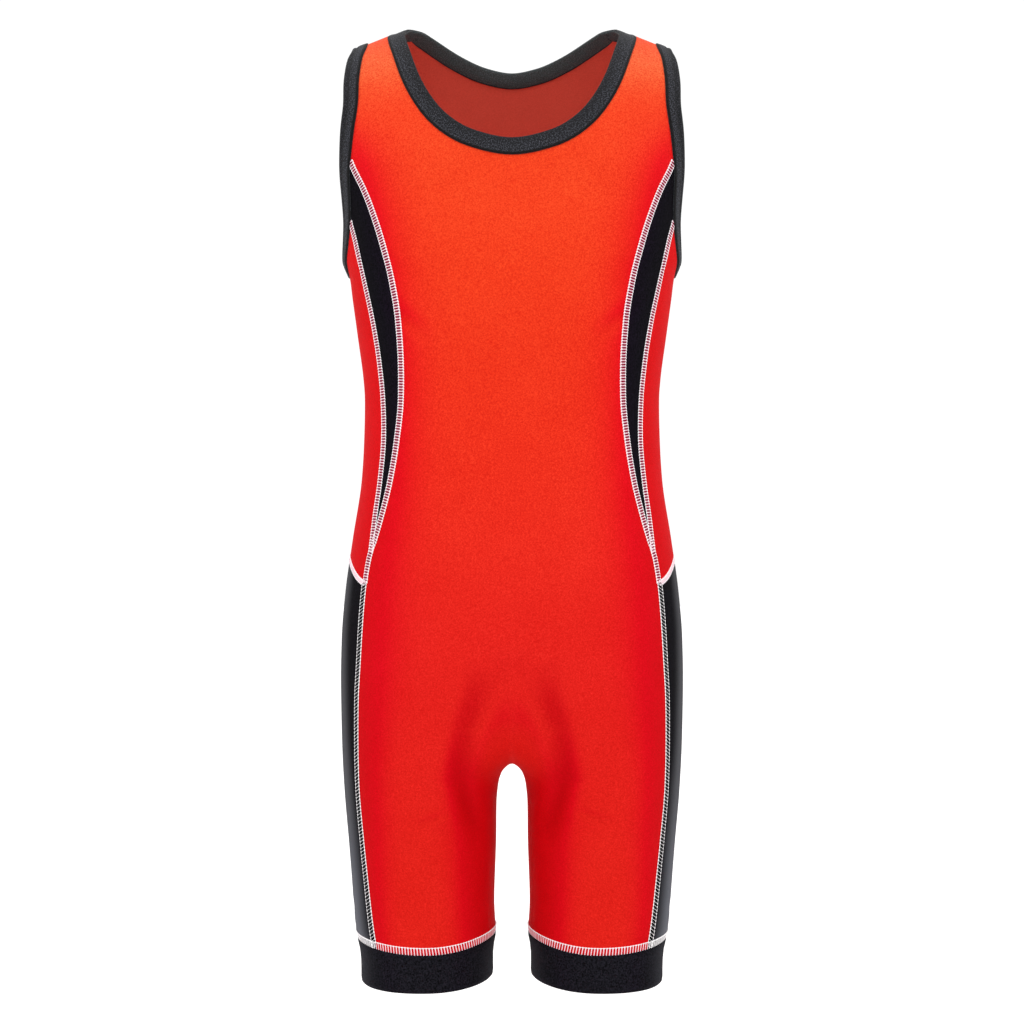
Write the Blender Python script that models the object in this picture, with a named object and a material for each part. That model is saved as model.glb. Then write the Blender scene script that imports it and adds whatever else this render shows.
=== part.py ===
"""A child's wrestling singlet, filled out as if worn, with no wearer inside.

Lengths are metres and +Z is up. The front faces -Y and the wearer's left is +X.
The origin lies between the shoulder straps, at the height of their crest, where
the wearer's shoulders hold the garment up.

One smooth hollow form gives the garment its shape. Every piece of cloth is a grid
of points on that form between its seams, thickened inwards. Neighbours share the
points of their seam and each stands half a seam gap back from it.
"""

import bmesh
import bpy
import numpy as np

# Cloth
WALL = 0.0015            # stretch knit, drawn as thick as the solids need
SEAM_GAP = 0.0003        # between two pieces that are sewn together
BINDING_WIDTH = 0.0125

# The form's height table. Above the underarm the form is wider than the cloth.
FORM = (
    # height, half width, front depth, back depth
    (0.000, 0.1700, 0.078, 0.080),
    (-0.040, 0.1650, 0.078, 0.080),
    (-0.067, 0.1530, 0.078, 0.080),
    (-0.088, 0.1420, 0.078, 0.080),
    (-0.104, 0.1362, 0.078, 0.080),
    (-0.129, 0.1296, 0.079, 0.080),
    (-0.148, 0.1258, 0.081, 0.081),
    (-0.160, 0.1249, 0.082, 0.081),
    (-0.172, 0.1240, 0.083, 0.081),
    (-0.184, 0.1198, 0.083, 0.081),
    (-0.200, 0.1177, 0.083, 0.081),
    (-0.229, 0.1137, 0.081, 0.078),
    (-0.259, 0.1097, 0.078, 0.072),
    (-0.274, 0.1087, 0.077, 0.069),
    (-0.303, 0.1092, 0.076, 0.067),
    (-0.333, 0.1110, 0.076, 0.069),
    (-0.377, 0.1177, 0.078, 0.076),
    (-0.415, 0.1230, 0.080, 0.083),
    (-0.451, 0.1258, 0.081, 0.089),
    (-0.481, 0.1263, 0.080, 0.092),
    (-0.525, 0.1254, 0.076, 0.090),
    (-0.562, 0.1235, 0.070, 0.082),
    (-0.600, 0.1203, 0.062, 0.070),
    (-0.644, 0.1169, 0.0560, 0.060),
    (-0.662, 0.1153, 0.0545, 0.057),
    (-0.680, 0.1108, 0.0535, 0.054),
    (-0.7015, 0.1106, 0.053, 0.053),
)
POWER = 2.2              # roundness of a level section: 2 is an ellipse
CLEFT = 0.005            # rounding where the legs part
LEAST_ROOM = 0.02        # keeps the form's slope finite at its outermost line

# Down to the hips each side's section is centred near the middle of the body. Its
# centre then moves out, and the two sides part into legs at the crotch.
LEG_CENTRE = (
    # height, centre's distance from the middle
    (0.000, 0.0050),
    (-0.395, 0.0050),
    (-0.420, 0.0088),
    (-0.450, 0.0205),
    (-0.480, 0.0360),
    (-0.500, 0.0465),
    (-0.520, 0.0560),
    (-0.535, 0.0622),
    (-0.5424, 0.0649),
    (-0.549, 0.0668),
    (-0.558, 0.0676),
    (-0.570, 0.0677),
    (-0.599, 0.0666),
    (-0.644, 0.0655),
    (-0.672, 0.0637),
    (-0.7015, 0.0628),
)
CROTCH = -0.5424

# Shoulders: the form closes over the top in a crest that falls away to each side
CAP_START = -0.130
CREST = 0.0452
CREST_FALL = 0.463
CREST_ROUND = 0.060
SHOULDER_SEAM = 0.008    # the straps' seam lies this far behind the crest

# Free edges
NECK_EDGE = (
    # distance from the middle, height, -1 in front and 1 behind
    (0.0000, -0.0915, -1),
    (0.0280, -0.0853, -1),
    (0.0510, -0.0690, -1),
    (0.0668, -0.0430, -1),
    (0.0755, -0.0180, -1),
    (0.0745, 0.0004, 1),
    (0.0685, 0.0022, 1),
    (0.0610, -0.0004, 1),
    (0.0370, -0.0117, 1),
    (0.0190, -0.0183, 1),
    (0.0000, -0.0214, 1),
)
ARMHOLE_EDGE = (
    # height, half of the opening's length from front to back
    (-0.0160, 0.0000),
    (-0.0188, 0.0132),
    (-0.0276, 0.0246),
    (-0.0440, 0.0360),
    (-0.0650, 0.0420),
    (-0.0880, 0.0385),
    (-0.1100, 0.0320),
    (-0.1330, 0.0263),
    (-0.1550, 0.0185),
    (-0.1675, 0.0100),
    (-0.1720, 0.0000),
)

SIDE_REACH = (0.060, 0.200)   # an armhole's edge lies between these, out to the side

# Seams of the front and the back, as distances from the middle
INSERT_SEAMS = (
    # height, seam to the front panel, seam to the side panel
    (-0.0980, 0.1185, 0.1215),
    (-0.1090, 0.1143, 0.1205),
    (-0.1244, 0.1068, 0.1192),
    (-0.1400, 0.1006, 0.1182),
    (-0.1620, 0.0934, 0.1131),
    (-0.1910, 0.0859, 0.1065),
    (-0.2200, 0.0812, 0.1002),
    (-0.2480, 0.0794, 0.0957),
    (-0.2770, 0.0795, 0.0929),
    (-0.3050, 0.0825, 0.0925),
    (-0.3340, 0.0874, 0.0951),
    (-0.3620, 0.0944, 0.0990),
    (-0.3810, 0.1001, 0.1010),
)
SIDE_SEAM = (
    # height, seam of the front (and back) panel from the insert's tip to the hem
    (-0.3620, 0.0975),
    (-0.3810, 0.1005),
    (-0.3910, 0.1031),
    (-0.4080, 0.1058),
    (-0.4345, 0.1081),
    (-0.4635, 0.1097),
    (-0.4920, 0.1111),
    (-0.5210, 0.1112),
    (-0.5505, 0.1106),
    (-0.5940, 0.1075),
    (-0.6230, 0.1047),
    (-0.6526, 0.1015),
    (-0.6720, 0.0985),
)
FRONT_SEAM_TOP = -0.085  # the seams meet the armhole's binding below these heights
OUTER_SEAM_TOP = -0.120
INSERT_TIP = -0.3785
HIP_SEAM_SIDE = -0.390   # where the leg panel's top seam peaks, at the side
HIP_SEAM_ENDS = -0.408   # where it meets the front and the back panel
HIP_SEAM_ARCH = 1.5      # above 1 it leaves its ends more gently
INSEAM_TURN = 20.0       # degrees that the inseam lies ahead of the innermost line
INSEAM_SETTLES = -0.585  # height by which it has turned that far
SEAT_TOP = -0.450        # the middle curves under from here to the crotch
SEAT_BULGE = 0.030       # rows round the legs are bowed out before they are fitted
HEM = (
    # degrees from the outermost line to the front, seam height, lowest edge's height;
    # the first and last rows repeat others, so that the curve closes smoothly
    (-180, -0.6660, -0.6975),
    (-90, -0.6680, -0.6990),
    (0, -0.6690, -0.7015),
    (90, -0.6745, -0.7023),
    (180, -0.6660, -0.6975),
    (270, -0.6680, -0.6990),
    (360, -0.6690, -0.7015),
)

# Sections of a binding and a hem band, from the seam to the free edge
BINDING_SECTION = (
    # share of the width, rise over the form, depth under it
    (0.00, 0.0003, 0.0018),
    (0.50, 0.0005, 0.0019),
    (0.90, 0.0003, 0.0017),
    (1.00, -0.0004, 0.0011),
)
HEM_SECTION = (
    # share of the height, rise over the form, depth under it
    (0.00, 0.0002, 0.0017),
    (0.50, 0.0003, 0.0017),
    (1.00, 0.0002, 0.0016),
)

# Grid counts
COLUMNS = 8              # across half of the front or back panel
INSERT_COLUMNS = 3
SIDE_COLUMNS = 6
NECK_FRONT_ROWS = 10     # rows that start on the neck seam
NECK_BACK_ROWS = 7
ARM_FRONT_ROWS = 7       # rows that end on the armhole seam
ARM_BACK_ROWS = 12
INSERT_ROWS = 20
HIP_ROWS = 2
LEG_ROWS = 21
CENTRE_FRONT_ROWS = 21   # rows that start on the straight middle line
CENTRE_BACK_ROWS = 29
SEAT_ROWS = 9            # rows that start where the middle curves under
INSEAM_ROWS = 10         # rows that start on the inseam
INSEAM_CROWDING = 1.6    # above 1 the inseam's points crowd towards the crotch
FINE = 400               # points of a curve before its even points are picked
FINE_COLUMNS = 4         # fine points for each column before a row's even points
SETTLE_STEPS = 14        # steps by which points come to rest on the form
SETTLE_REACH = 0.020     # the longest of these steps
SEARCH_STEPS = 50        # halvings by which an armhole's edge is found
LEG_SEAM_TRIES = 6       # rounds by which the leg's seam finds the sloping hem
SLOPE_STEP = 0.00002     # over which the form's slope is measured
SHARP_ANGLE = 50.0       # degrees from which an edge is shaded sharp

# Colours, linear
RED = (0.88, 0.045, 0.022)
BLACK = (0.012, 0.011, 0.013)
CHARCOAL = (0.032, 0.032, 0.036)


def smooth(table, column):
    """Return a function that runs smoothly through one column, read by the first."""
    rows = sorted(table)
    place = np.array([row[0] for row in rows])
    value = np.array([row[column] for row in rows])
    rise = np.diff(value) / np.diff(place)
    before = 2 * rise[0] - rise[1]
    after = 2 * rise[-1] - rise[-2]
    rise = np.concatenate(([2 * before - rise[0], before], rise, [after, 2 * after - rise[-1]]))
    change = np.abs(np.diff(rise)) + np.abs(rise[1:] + rise[:-1]) / 2 + 1e-12
    slope = (change[2:] * rise[1:-2] + change[:-2] * rise[2:-1]) / (change[2:] + change[:-2])

    def read(at):
        at = np.clip(at, place[0], place[-1])
        left = np.clip(np.searchsorted(place, at, side="right") - 1, 0, len(place) - 2)
        step = place[left + 1] - place[left]
        t = (at - place[left]) / step
        return ((1 + 2 * t) * (1 - t) ** 2 * value[left]
                + t * (1 - t) ** 2 * step * slope[left]
                + t ** 2 * (3 - 2 * t) * value[left + 1]
                + t ** 2 * (t - 1) * step * slope[left + 1])

    return read


half_width = smooth(FORM, 1)
front_depth = smooth(FORM, 2)
back_depth = smooth(FORM, 3)
leg_centre = smooth(LEG_CENTRE, 1)
insert_seam = smooth(INSERT_SEAMS, 1)
outer_seam = smooth(INSERT_SEAMS, 2)
side_seam = smooth(SIDE_SEAM, 1)
hem_seam = smooth(HEM, 1)
hem_edge = smooth(HEM, 2)


def crest_height(x):
    """Height of the shoulder crest at a distance from the middle."""
    return CREST - CREST_FALL * np.hypot(x, CREST_ROUND)


def field(points):
    """Below zero inside the form, above it outside."""
    x, y, z = np.moveaxis(np.asarray(points), -1, 0)
    centre = leg_centre(z)
    across = (np.hypot(x, CLEFT) - centre) / (np.hypot(half_width(z), CLEFT) - centre)
    across = np.abs(across) ** POWER
    depth = np.where(y < 0, front_depth(z), back_depth(z))
    level = np.abs(y / depth) ** POWER + across - 1
    room = np.maximum(1 - across, LEAST_ROOM)
    climb = np.maximum(z - CAP_START, 0) / (crest_height(x) - CAP_START)
    reach = y / (depth * room ** (1 / POWER))
    capped = POWER / 2 * room * (reach ** 2 + climb ** 2 - 1)
    return np.where(z > CAP_START, capped, level)


def gradient(points):
    """Slope of the field along x, y and z."""
    points = np.asarray(points, dtype=float)
    slopes = []
    for step in np.eye(3) * SLOPE_STEP:
        slopes.append((field(points + step) - field(points - step)) / (2 * SLOPE_STEP))
    return np.stack(slopes, axis=-1)


def unit(vectors):
    """Vectors of length one."""
    return vectors / np.linalg.norm(vectors, axis=-1, keepdims=True)


def outward(points):
    """The form's outward normals."""
    return unit(gradient(points))


def settle(points):
    """Move points on to the form by the shortest way."""
    points = np.array(points, dtype=float)
    for _ in range(SETTLE_STEPS):
        slope = gradient(points)
        step = -field(points)[..., None] * slope / np.sum(slope ** 2, axis=-1, keepdims=True)
        length = np.linalg.norm(step, axis=-1, keepdims=True)
        points += step * np.minimum(1, SETTLE_REACH / np.maximum(length, 1e-12))
    return points


def on_form(x, z, side):
    """Points at a distance from the middle and a height, in front (-1) or behind (1)."""
    x, z = np.broadcast_arrays(np.asarray(x, dtype=float), np.asarray(z, dtype=float))
    centre = leg_centre(z)
    across = (np.hypot(x, CLEFT) - centre) / (np.hypot(half_width(z), CLEFT) - centre)
    room = np.maximum(1 - np.abs(across) ** POWER, 0)
    climb = np.maximum(z - CAP_START, 0) / (crest_height(x) - CAP_START)
    depth = front_depth(z) if side < 0 else back_depth(z)
    y = side * depth * room ** (1 / POWER) * np.sqrt(np.maximum(1 - climb ** 2, 0))
    return np.stack([x, y, z], axis=-1)


def round_leg(z, turn):
    """Points at a height, turned in degrees from the outermost line towards the front."""
    z, turn = np.broadcast_arrays(np.asarray(z, dtype=float), np.radians(turn))
    centre = leg_centre(z)
    radius = np.hypot(half_width(z), CLEFT) - centre
    over = np.sign(np.cos(turn)) * np.abs(np.cos(turn)) ** (2 / POWER)
    ahead = np.sign(np.sin(turn)) * np.abs(np.sin(turn)) ** (2 / POWER)
    spread = np.maximum(centre + radius * over, CLEFT)
    depth = np.where(ahead > 0, front_depth(z), back_depth(z))
    return np.stack([np.sqrt(spread ** 2 - CLEFT ** 2), -depth * ahead, z], axis=-1)


def turn_of(points):
    """The turn in degrees of points on the form, as round_leg reads it."""
    x, y, z = np.moveaxis(points, -1, 0)
    centre = leg_centre(z)
    over = (np.hypot(x, CLEFT) - centre) / (np.hypot(half_width(z), CLEFT) - centre)
    ahead = -y / np.where(y < 0, front_depth(z), back_depth(z))
    half = POWER / 2
    return np.degrees(np.arctan2(np.sign(ahead) * np.abs(ahead) ** half,
                                 np.sign(over) * np.abs(over) ** half))


def at_side(y, z):
    """The point of the form straight out to the side from a depth and a height."""
    near, far = SIDE_REACH
    for _ in range(SEARCH_STEPS):
        middle = (near + far) / 2
        if field((middle, y, z)) < 0:
            near = middle
        else:
            far = middle
    return near, y, z


def lengths(points):
    """Length along a line at each of its points."""
    steps = np.linalg.norm(np.diff(points, axis=0), axis=1)
    return np.concatenate(([0], np.cumsum(steps)))


def read_along(points, along, at):
    """Points of a line at the given lengths."""
    return np.stack([np.interp(at, along, column) for column in points.T], axis=-1)


def even(points, count, crowding=1.0):
    """Points that cut a line into a count of steps, even unless crowded to its start."""
    along = lengths(points)
    return read_along(points, along, along[-1] * np.linspace(0, 1, count + 1) ** crowding)


def closed_curve(points):
    """A fine smooth closed line through points on the form."""
    points = np.asarray(points, dtype=float)
    looped = np.concatenate((points[-3:], points, points[:4]))
    along = lengths(looped)
    table = [(at, *point) for at, point in zip(along, looped)]
    at = np.linspace(along[3], along[3 + len(points)], 2 * FINE + 1)
    return settle(np.stack([smooth(table, column)(at) for column in (1, 2, 3)], axis=-1))


def seam_of_binding(edge):
    """The seam line one binding's width to the left of a free edge, over the form."""
    ring = np.concatenate((edge[-2:-1], edge, edge[1:2]))
    along = unit(ring[2:] - ring[:-2])
    across = np.cross(along, outward(edge))
    seam = edge
    for _ in range(4):
        seam = settle(seam + across * BINDING_WIDTH / 4)
    return seam


def neck_rings():
    """The neck's free edge and seam, from the front's middle round +X and back."""
    half = [on_form(x, z, side) for x, z, side in NECK_EDGE]
    other = [point * (-1, 1, 1) for point in half[-2:0:-1]]
    edge = closed_curve(half + other)
    return edge, seam_of_binding(edge)


def armhole_rings():
    """The free edge and the seam of the +X armhole, from the crest down the front."""
    front = [at_side(-length, z) for z, length in ARMHOLE_EDGE]
    back = [(x, -y, z) for x, y, z in front[-2:0:-1]]
    edge = closed_curve(front + back)
    return edge, seam_of_binding(edge)


def crossing(value):
    """Index, with its fraction, where a value along a line first changes sign."""
    change = np.nonzero(np.diff(np.sign(value)))[0][0]
    share = value[change] / (value[change] - value[change + 1])
    return change + share


def meets(ring, seam, below):
    """Index, with its fraction, where a ring first meets a seam below a height."""
    start = np.nonzero(ring[:, 2] < below)[0][0]
    return start + crossing(ring[start:, 0] - seam(ring[start:, 2]))


def stretch(edge, seam, start, end, count):
    """Matching points of an edge and its seam between two indices, even on the seam."""
    at = np.linspace(start, end, FINE)
    index = np.arange(len(seam))
    fine_edge = read_along(edge, index, at)
    fine_seam = read_along(seam, index, at)
    along = lengths(fine_seam)
    picked = along[-1] * np.linspace(0, 1, count + 1)
    return read_along(fine_edge, along, picked), read_along(fine_seam, along, picked)


def join(*lines):
    """One line from lines that share their end points."""
    return np.concatenate([lines[0]] + [line[1:] for line in lines[1:]])


def fit_rows(left, right, top, bottom, columns, bulge=0.0):
    """A grid on the form between a left and a right line, with its end rows given."""
    share = np.linspace(0, 1, columns * FINE_COLUMNS + 1)[:, None]
    even_share = np.linspace(0, 1, columns + 1)[:, None]
    bow_top = top - (top[:1] + (top[-1:] - top[:1]) * even_share)
    bow_bottom = bottom - (bottom[:1] + (bottom[-1:] - bottom[:1]) * even_share)
    grid = [top]
    last = len(left) - 1
    for row in range(1, last):
        start, end = left[row], right[row]
        chord = start + (end - start) * share
        bow = bow_top * (1 - row / last) + bow_bottom * row / last
        chord = chord + np.stack([np.interp(share[:, 0], even_share[:, 0], column)
                                  for column in bow.T], axis=-1)
        depth = (start[2] + end[2]) / 2 - SEAT_TOP
        push = bulge * np.clip(depth / (CROTCH - SEAT_TOP), 0, 1)
        chord[:, 1] += push * np.sin(np.pi * share[:, 0])
        points = settle(even(settle(chord), columns))
        points[0], points[-1] = start, end
        grid.append(points)
    grid.append(bottom)
    return np.array(grid)


def step_back(grid, sides):
    """Draw a grid's sewn sides back from their seams by half the seam gap."""
    result = grid.copy()
    normals = outward(grid)
    for side in sides:
        line = {"left": np.s_[:, 0], "right": np.s_[:, -1], "top": np.s_[0], "bottom": np.s_[-1]}[side]
        inner = {"left": np.s_[:, 1], "right": np.s_[:, -2], "top": np.s_[1], "bottom": np.s_[-2]}[side]
        along = unit(np.gradient(grid[line], axis=0))
        away = unit(np.cross(normals[line], along))
        toward = np.sum(away * (grid[inner] - grid[line]), axis=1, keepdims=True)
        result[line] += away * np.sign(toward) * SEAM_GAP / 2
    return result


def keep_middle(grid, seams, first, last):
    """Put a half panel's middle line, between two rows, back on the mirror plane."""
    grid[first:last + 1, 0, 0] = 0
    grid[first + 1:last, 0] = seams[first + 1:last, 0]
    return grid


def fabric(name, colour, roughness):
    """A plain cloth material."""
    material = bpy.data.materials.new(name)
    material.use_nodes = True
    shader = material.node_tree.nodes["Principled BSDF"]
    shader.inputs["Base Color"].default_value = (*colour, 1)
    shader.inputs["Roughness"].default_value = roughness
    shader.inputs["Metallic"].default_value = 0
    return material


def finish(mesh_data, name, material):
    """Turn a bmesh into a smooth-shaded object."""
    bmesh.ops.recalc_face_normals(mesh_data, faces=mesh_data.faces)
    mesh = bpy.data.meshes.new(name)
    mesh_data.to_mesh(mesh)
    mesh_data.free()
    mesh.materials.append(material)
    mesh.shade_smooth()
    mesh.set_sharp_from_angle(angle=np.radians(SHARP_ANGLE))
    obj = bpy.data.objects.new(name, mesh)
    bpy.context.scene.collection.objects.link(obj)
    return obj


def sew(name, grid, material, mirrored=False):
    """A piece of cloth: a grid of outer points, extruded inwards by the wall."""
    piece = bmesh.new()
    vertices = [[piece.verts.new(point) for point in row] for row in grid]
    for upper, lower in zip(vertices, vertices[1:]):
        for column in range(len(upper) - 1):
            piece.faces.new((upper[column], upper[column + 1], lower[column + 1], lower[column]))
    if mirrored:
        everything = piece.verts[:] + piece.edges[:] + piece.faces[:]
        bmesh.ops.mirror(piece, geom=everything, axis="X", merge_dist=1e-6)
    bmesh.ops.recalc_face_normals(piece, faces=piece.faces)
    result = bmesh.ops.extrude_face_region(piece, geom=piece.faces[:], use_keep_orig=True)
    inner = [item for item in result["geom"] if isinstance(item, bmesh.types.BMVert)]
    places = np.array([vertex.co for vertex in inner])
    for vertex, place in zip(inner, places - outward(places) * WALL):
        vertex.co = place
    return finish(piece, name, material)


def ring(name, sections, material):
    """A closed band through section outlines that follow one another in a circle."""
    piece = bmesh.new()
    loops = [[piece.verts.new(point) for point in section] for section in sections]
    for here, there in zip(loops, loops[1:] + loops[:1]):
        for corner in range(len(here)):
            piece.faces.new((here[corner - 1], here[corner], there[corner], there[corner - 1]))
    return finish(piece, name, material)


def binding_sections(edge, seam):
    """Section outlines of a binding between its free edge and its seam."""
    across = edge - seam
    width = np.linalg.norm(across, axis=1, keepdims=True)
    rows_out, rows_in = [], []
    for share, rise, depth in BINDING_SECTION:
        start = SEAM_GAP / 2
        base = settle(seam + across / width * (start + (width - start) * share))
        normals = outward(base)
        rows_out.append(base + normals * rise)
        rows_in.append(base - normals * depth)
    return np.stack(rows_out + rows_in[::-1], axis=1)


def at_hem(read, turns):
    """Heights of the hem's table at any turns round the leg."""
    return read(np.mod(turns + 90, 360) - 90)


def hem_sections(turns):
    """Section outlines of a hem band at the given turns round the leg."""
    top = at_hem(hem_seam, turns) - SEAM_GAP / 2
    bottom = at_hem(hem_edge, turns)
    rows_out, rows_in = [], []
    for share, rise, depth in HEM_SECTION:
        base = round_leg(top + (bottom - top) * share, turns)
        normals = unit(outward(base) * (1, 1, 0))
        rows_out.append(base + normals * rise)
        rows_in.append(base - normals * depth)
    return np.stack(rows_out + rows_in[::-1], axis=1)


def seam_lines():
    """All seam points that two pieces share, for the +X half of the garment."""
    lines = {}
    neck_edge, neck_seam = neck_rings()
    behind = crossing(neck_seam[:, 1] - SHOULDER_SEAM)
    lines["neck front"] = stretch(neck_edge, neck_seam, 0, behind, NECK_FRONT_ROWS)
    lines["neck back"] = stretch(neck_edge, neck_seam, behind, FINE, NECK_BACK_ROWS)

    # The armhole's ring has 2 FINE steps, and its back mirrors its front
    edge, seam = armhole_rings()
    first = meets(seam, insert_seam, FRONT_SEAM_TOP)
    second = meets(seam, outer_seam, OUTER_SEAM_TOP)
    third = 2 * FINE - second
    top = 2 * FINE - crossing(-seam[:, 1] - SHOULDER_SEAM)
    edge_twice = np.concatenate((edge, edge[1:]))
    seam_twice = np.concatenate((seam, seam[1:]))
    lines["arm front"] = stretch(edge_twice, seam_twice, top, first + 2 * FINE, ARM_FRONT_ROWS)
    lines["arm insert"] = stretch(edge, seam, first, second, INSERT_COLUMNS)
    lines["arm side"] = stretch(edge, seam, second, third, SIDE_COLUMNS)
    lines["arm back"] = stretch(edge, seam, third, top, ARM_BACK_ROWS)

    start = lines["arm insert"][1][0]
    z = np.linspace(start[2], INSERT_TIP, FINE)
    lines["insert front"] = even(on_form(insert_seam(z), z, -1), INSERT_ROWS)
    start = lines["arm side"][1][0]
    z = np.linspace(start[2], INSERT_TIP, FINE)
    lines["insert side"] = even(on_form(outer_seam(z), z, -1), INSERT_ROWS)
    lines["side back"] = even(on_form(outer_seam(z), z, 1), INSERT_ROWS)
    return lines


def middle_line(side, straight_rows, top):
    """A panel's middle below the neck: its straight part, then the part under the seat."""
    z = np.linspace(top, SEAT_TOP, FINE)
    straight = even(on_form(0 * z, z, side), straight_rows)
    drop = np.linspace(0, np.pi / 2, FINE)
    z = SEAT_TOP + (CROTCH - SEAT_TOP) * np.sin(drop)
    under = on_form(0 * z, z, side)
    under[-1] = (0, 0, CROTCH)
    return straight, even(under, SEAT_ROWS)


def inseam():
    """The inseam from the crotch to the hem seam."""
    end = at_hem(hem_seam, 180 - INSEAM_TURN)
    z = CROTCH + (end - CROTCH) * np.linspace(0, 1, FINE) ** 2
    settled = np.clip((CROTCH - z) / (CROTCH - INSEAM_SETTLES), 0, 1)
    turn = 180 - INSEAM_TURN * settled * settled * (3 - 2 * settled)
    line = round_leg(z, turn)
    line[0] = (0, 0, CROTCH)
    return even(line, INSEAM_ROWS, INSEAM_CROWDING)


def leg_seam(side):
    """The seam down the leg in front (-1) or behind (1), from the hip to the hem."""
    end = at_hem(hem_seam, 0)
    for _ in range(LEG_SEAM_TRIES):
        end = at_hem(hem_seam, turn_of(on_form(side_seam(end), end, side)))
    z = np.linspace(HIP_SEAM_ENDS, end, FINE)
    return even(on_form(side_seam(z), z, side), LEG_ROWS)


def level_line(start, end, heights, columns):
    """A line round the leg between two points of the form, at the given heights."""
    turns = np.linspace(turn_of(start), turn_of(end), FINE)
    return even(round_leg(heights, turns), columns)


def lower_lines(lines):
    """Add the shared seam points below the insert's tip."""
    z = np.linspace(INSERT_TIP, HIP_SEAM_ENDS, FINE)
    blend = ((z - INSERT_TIP) / (HIP_SEAM_ENDS - INSERT_TIP))[:, None]
    middle = (lines["insert front"][-1] + lines["insert side"][-1]) / 2
    for name, side, start in (("hip front", -1, middle), ("hip back", 1, lines["side back"][-1])):
        line = on_form(side_seam(z), z, side)
        line = settle(line + (start - line[0]) * (1 - blend) ** 2)
        lines[name] = even(line, HIP_ROWS)
    lines["leg front"] = leg_seam(-1)
    lines["leg back"] = leg_seam(1)
    arch = np.sin(np.linspace(0, np.pi, FINE)) ** HIP_SEAM_ARCH
    heights = HIP_SEAM_ENDS + (HIP_SEAM_SIDE - HIP_SEAM_ENDS) * arch
    lines["hip side"] = level_line(lines["leg front"][0], lines["leg back"][0], heights, SIDE_COLUMNS)
    lines["inseam"] = inseam()
    turn_in = turn_of(lines["inseam"][-1])
    turn_front = turn_of(lines["leg front"][-1])
    turn_back = turn_of(lines["leg back"][-1])
    for name, first, last, columns in (("hem front", turn_in, turn_front, COLUMNS),
                                       ("hem side", turn_front, turn_back, SIDE_COLUMNS),
                                       ("hem back", turn_in - 360, turn_back, COLUMNS)):
        turns = np.linspace(first, last, FINE)
        lines[name] = even(round_leg(at_hem(hem_seam, turns), turns), columns)
    neck_low = lines["neck front"][1][0][2]
    nape_low = lines["neck back"][1][-1][2]
    lines["middle front"] = middle_line(-1, CENTRE_FRONT_ROWS, neck_low)
    lines["middle back"] = middle_line(1, CENTRE_BACK_ROWS, nape_low)
    shoulder = np.linspace(lines["neck back"][1][0], lines["arm back"][1][-1], COLUMNS + 1)
    lines["shoulder"] = settle(shoulder)
    lines["shoulder"][[0, -1]] = shoulder[[0, -1]]


def panels(lines):
    """Every panel of the +X half as its name, grid, sewn sides and colour."""
    straight, under = lines["middle front"]
    left = join(lines["neck front"][1][::-1], straight, under, lines["inseam"])
    right = join(lines["arm front"][1], lines["insert front"], lines["hip front"], lines["leg front"])
    front = fit_rows(left, right, lines["shoulder"], lines["hem front"], COLUMNS, -SEAT_BULGE)
    straight, under = lines["middle back"]
    left = join(lines["neck back"][1], straight, under, lines["inseam"])
    right = join(lines["arm back"][1][::-1], lines["side back"], lines["hip back"], lines["leg back"])
    back = fit_rows(left, right, lines["shoulder"], lines["hem back"], COLUMNS, SEAT_BULGE)
    tip = np.linspace(lines["insert front"][-1], lines["insert side"][-1], INSERT_COLUMNS + 1)
    insert = fit_rows(lines["insert front"], lines["insert side"], lines["arm insert"][1], tip,
                      INSERT_COLUMNS)
    side = fit_rows(join(lines["insert side"], lines["hip front"]),
                    join(lines["side back"], lines["hip back"]),
                    lines["arm side"][1], lines["hip side"], SIDE_COLUMNS)
    leg = fit_rows(lines["leg front"], lines["leg back"], lines["hip side"], lines["hem side"],
                   SIDE_COLUMNS)
    return front, back, insert, side, leg


def main():
    for obj in list(bpy.data.objects):
        bpy.data.objects.remove(obj, do_unlink=True)
    red = fabric("stretch_red", RED, 0.55)
    black = fabric("stretch_black", BLACK, 0.50)
    knit = fabric("binding_knit", CHARCOAL, 0.85)

    lines = seam_lines()
    lower_lines(lines)
    front, back, insert, side, leg = panels(lines)
    sewn = ("left", "right", "top", "bottom")
    seat_front = NECK_FRONT_ROWS + CENTRE_FRONT_ROWS + SEAT_ROWS
    seat_back = NECK_BACK_ROWS + CENTRE_BACK_ROWS + SEAT_ROWS
    front = keep_middle(step_back(front, sewn), front, NECK_FRONT_ROWS, seat_front)
    back = keep_middle(step_back(back, sewn), back, NECK_BACK_ROWS, seat_back)
    sew("front_panel", front, red, mirrored=True)
    sew("back_panel", back, red, mirrored=True)

    neck_edge = join(lines["neck front"][0], lines["neck back"][0])
    neck_seam = join(lines["neck front"][1], lines["neck back"][1])
    half = binding_sections(neck_edge, neck_seam)
    half[[0, -1], :, 0] = 0
    ring("neck_binding", list(half) + list(half[-2:0:-1] * (-1, 1, 1)), knit)

    arm = [lines[name] for name in ("arm front", "arm insert", "arm side", "arm back")]
    arm_edge = join(*(edge for edge, seam in arm))[:-1]
    arm_seam = join(*(seam for edge, seam in arm))[:-1]
    arm_sections = binding_sections(arm_edge, arm_seam)
    hem_line = join(lines["hem front"], lines["hem side"], lines["hem back"][::-1])[:-1]
    hem_outlines = hem_sections(turn_of(hem_line))
    for name, mirror in (("left", (1, 1, 1)), ("right", (-1, 1, 1))):
        sew("side_insert_" + name, step_back(insert, sewn) * mirror, black)
        sew("side_panel_" + name, step_back(side, sewn) * mirror, red)
        sew("leg_panel_" + name, step_back(leg, sewn) * mirror, black)
        ring("hem_band_" + name, hem_outlines * mirror, black)
        ring("armhole_binding_" + name, arm_sections * mirror, knit)


main()
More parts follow.
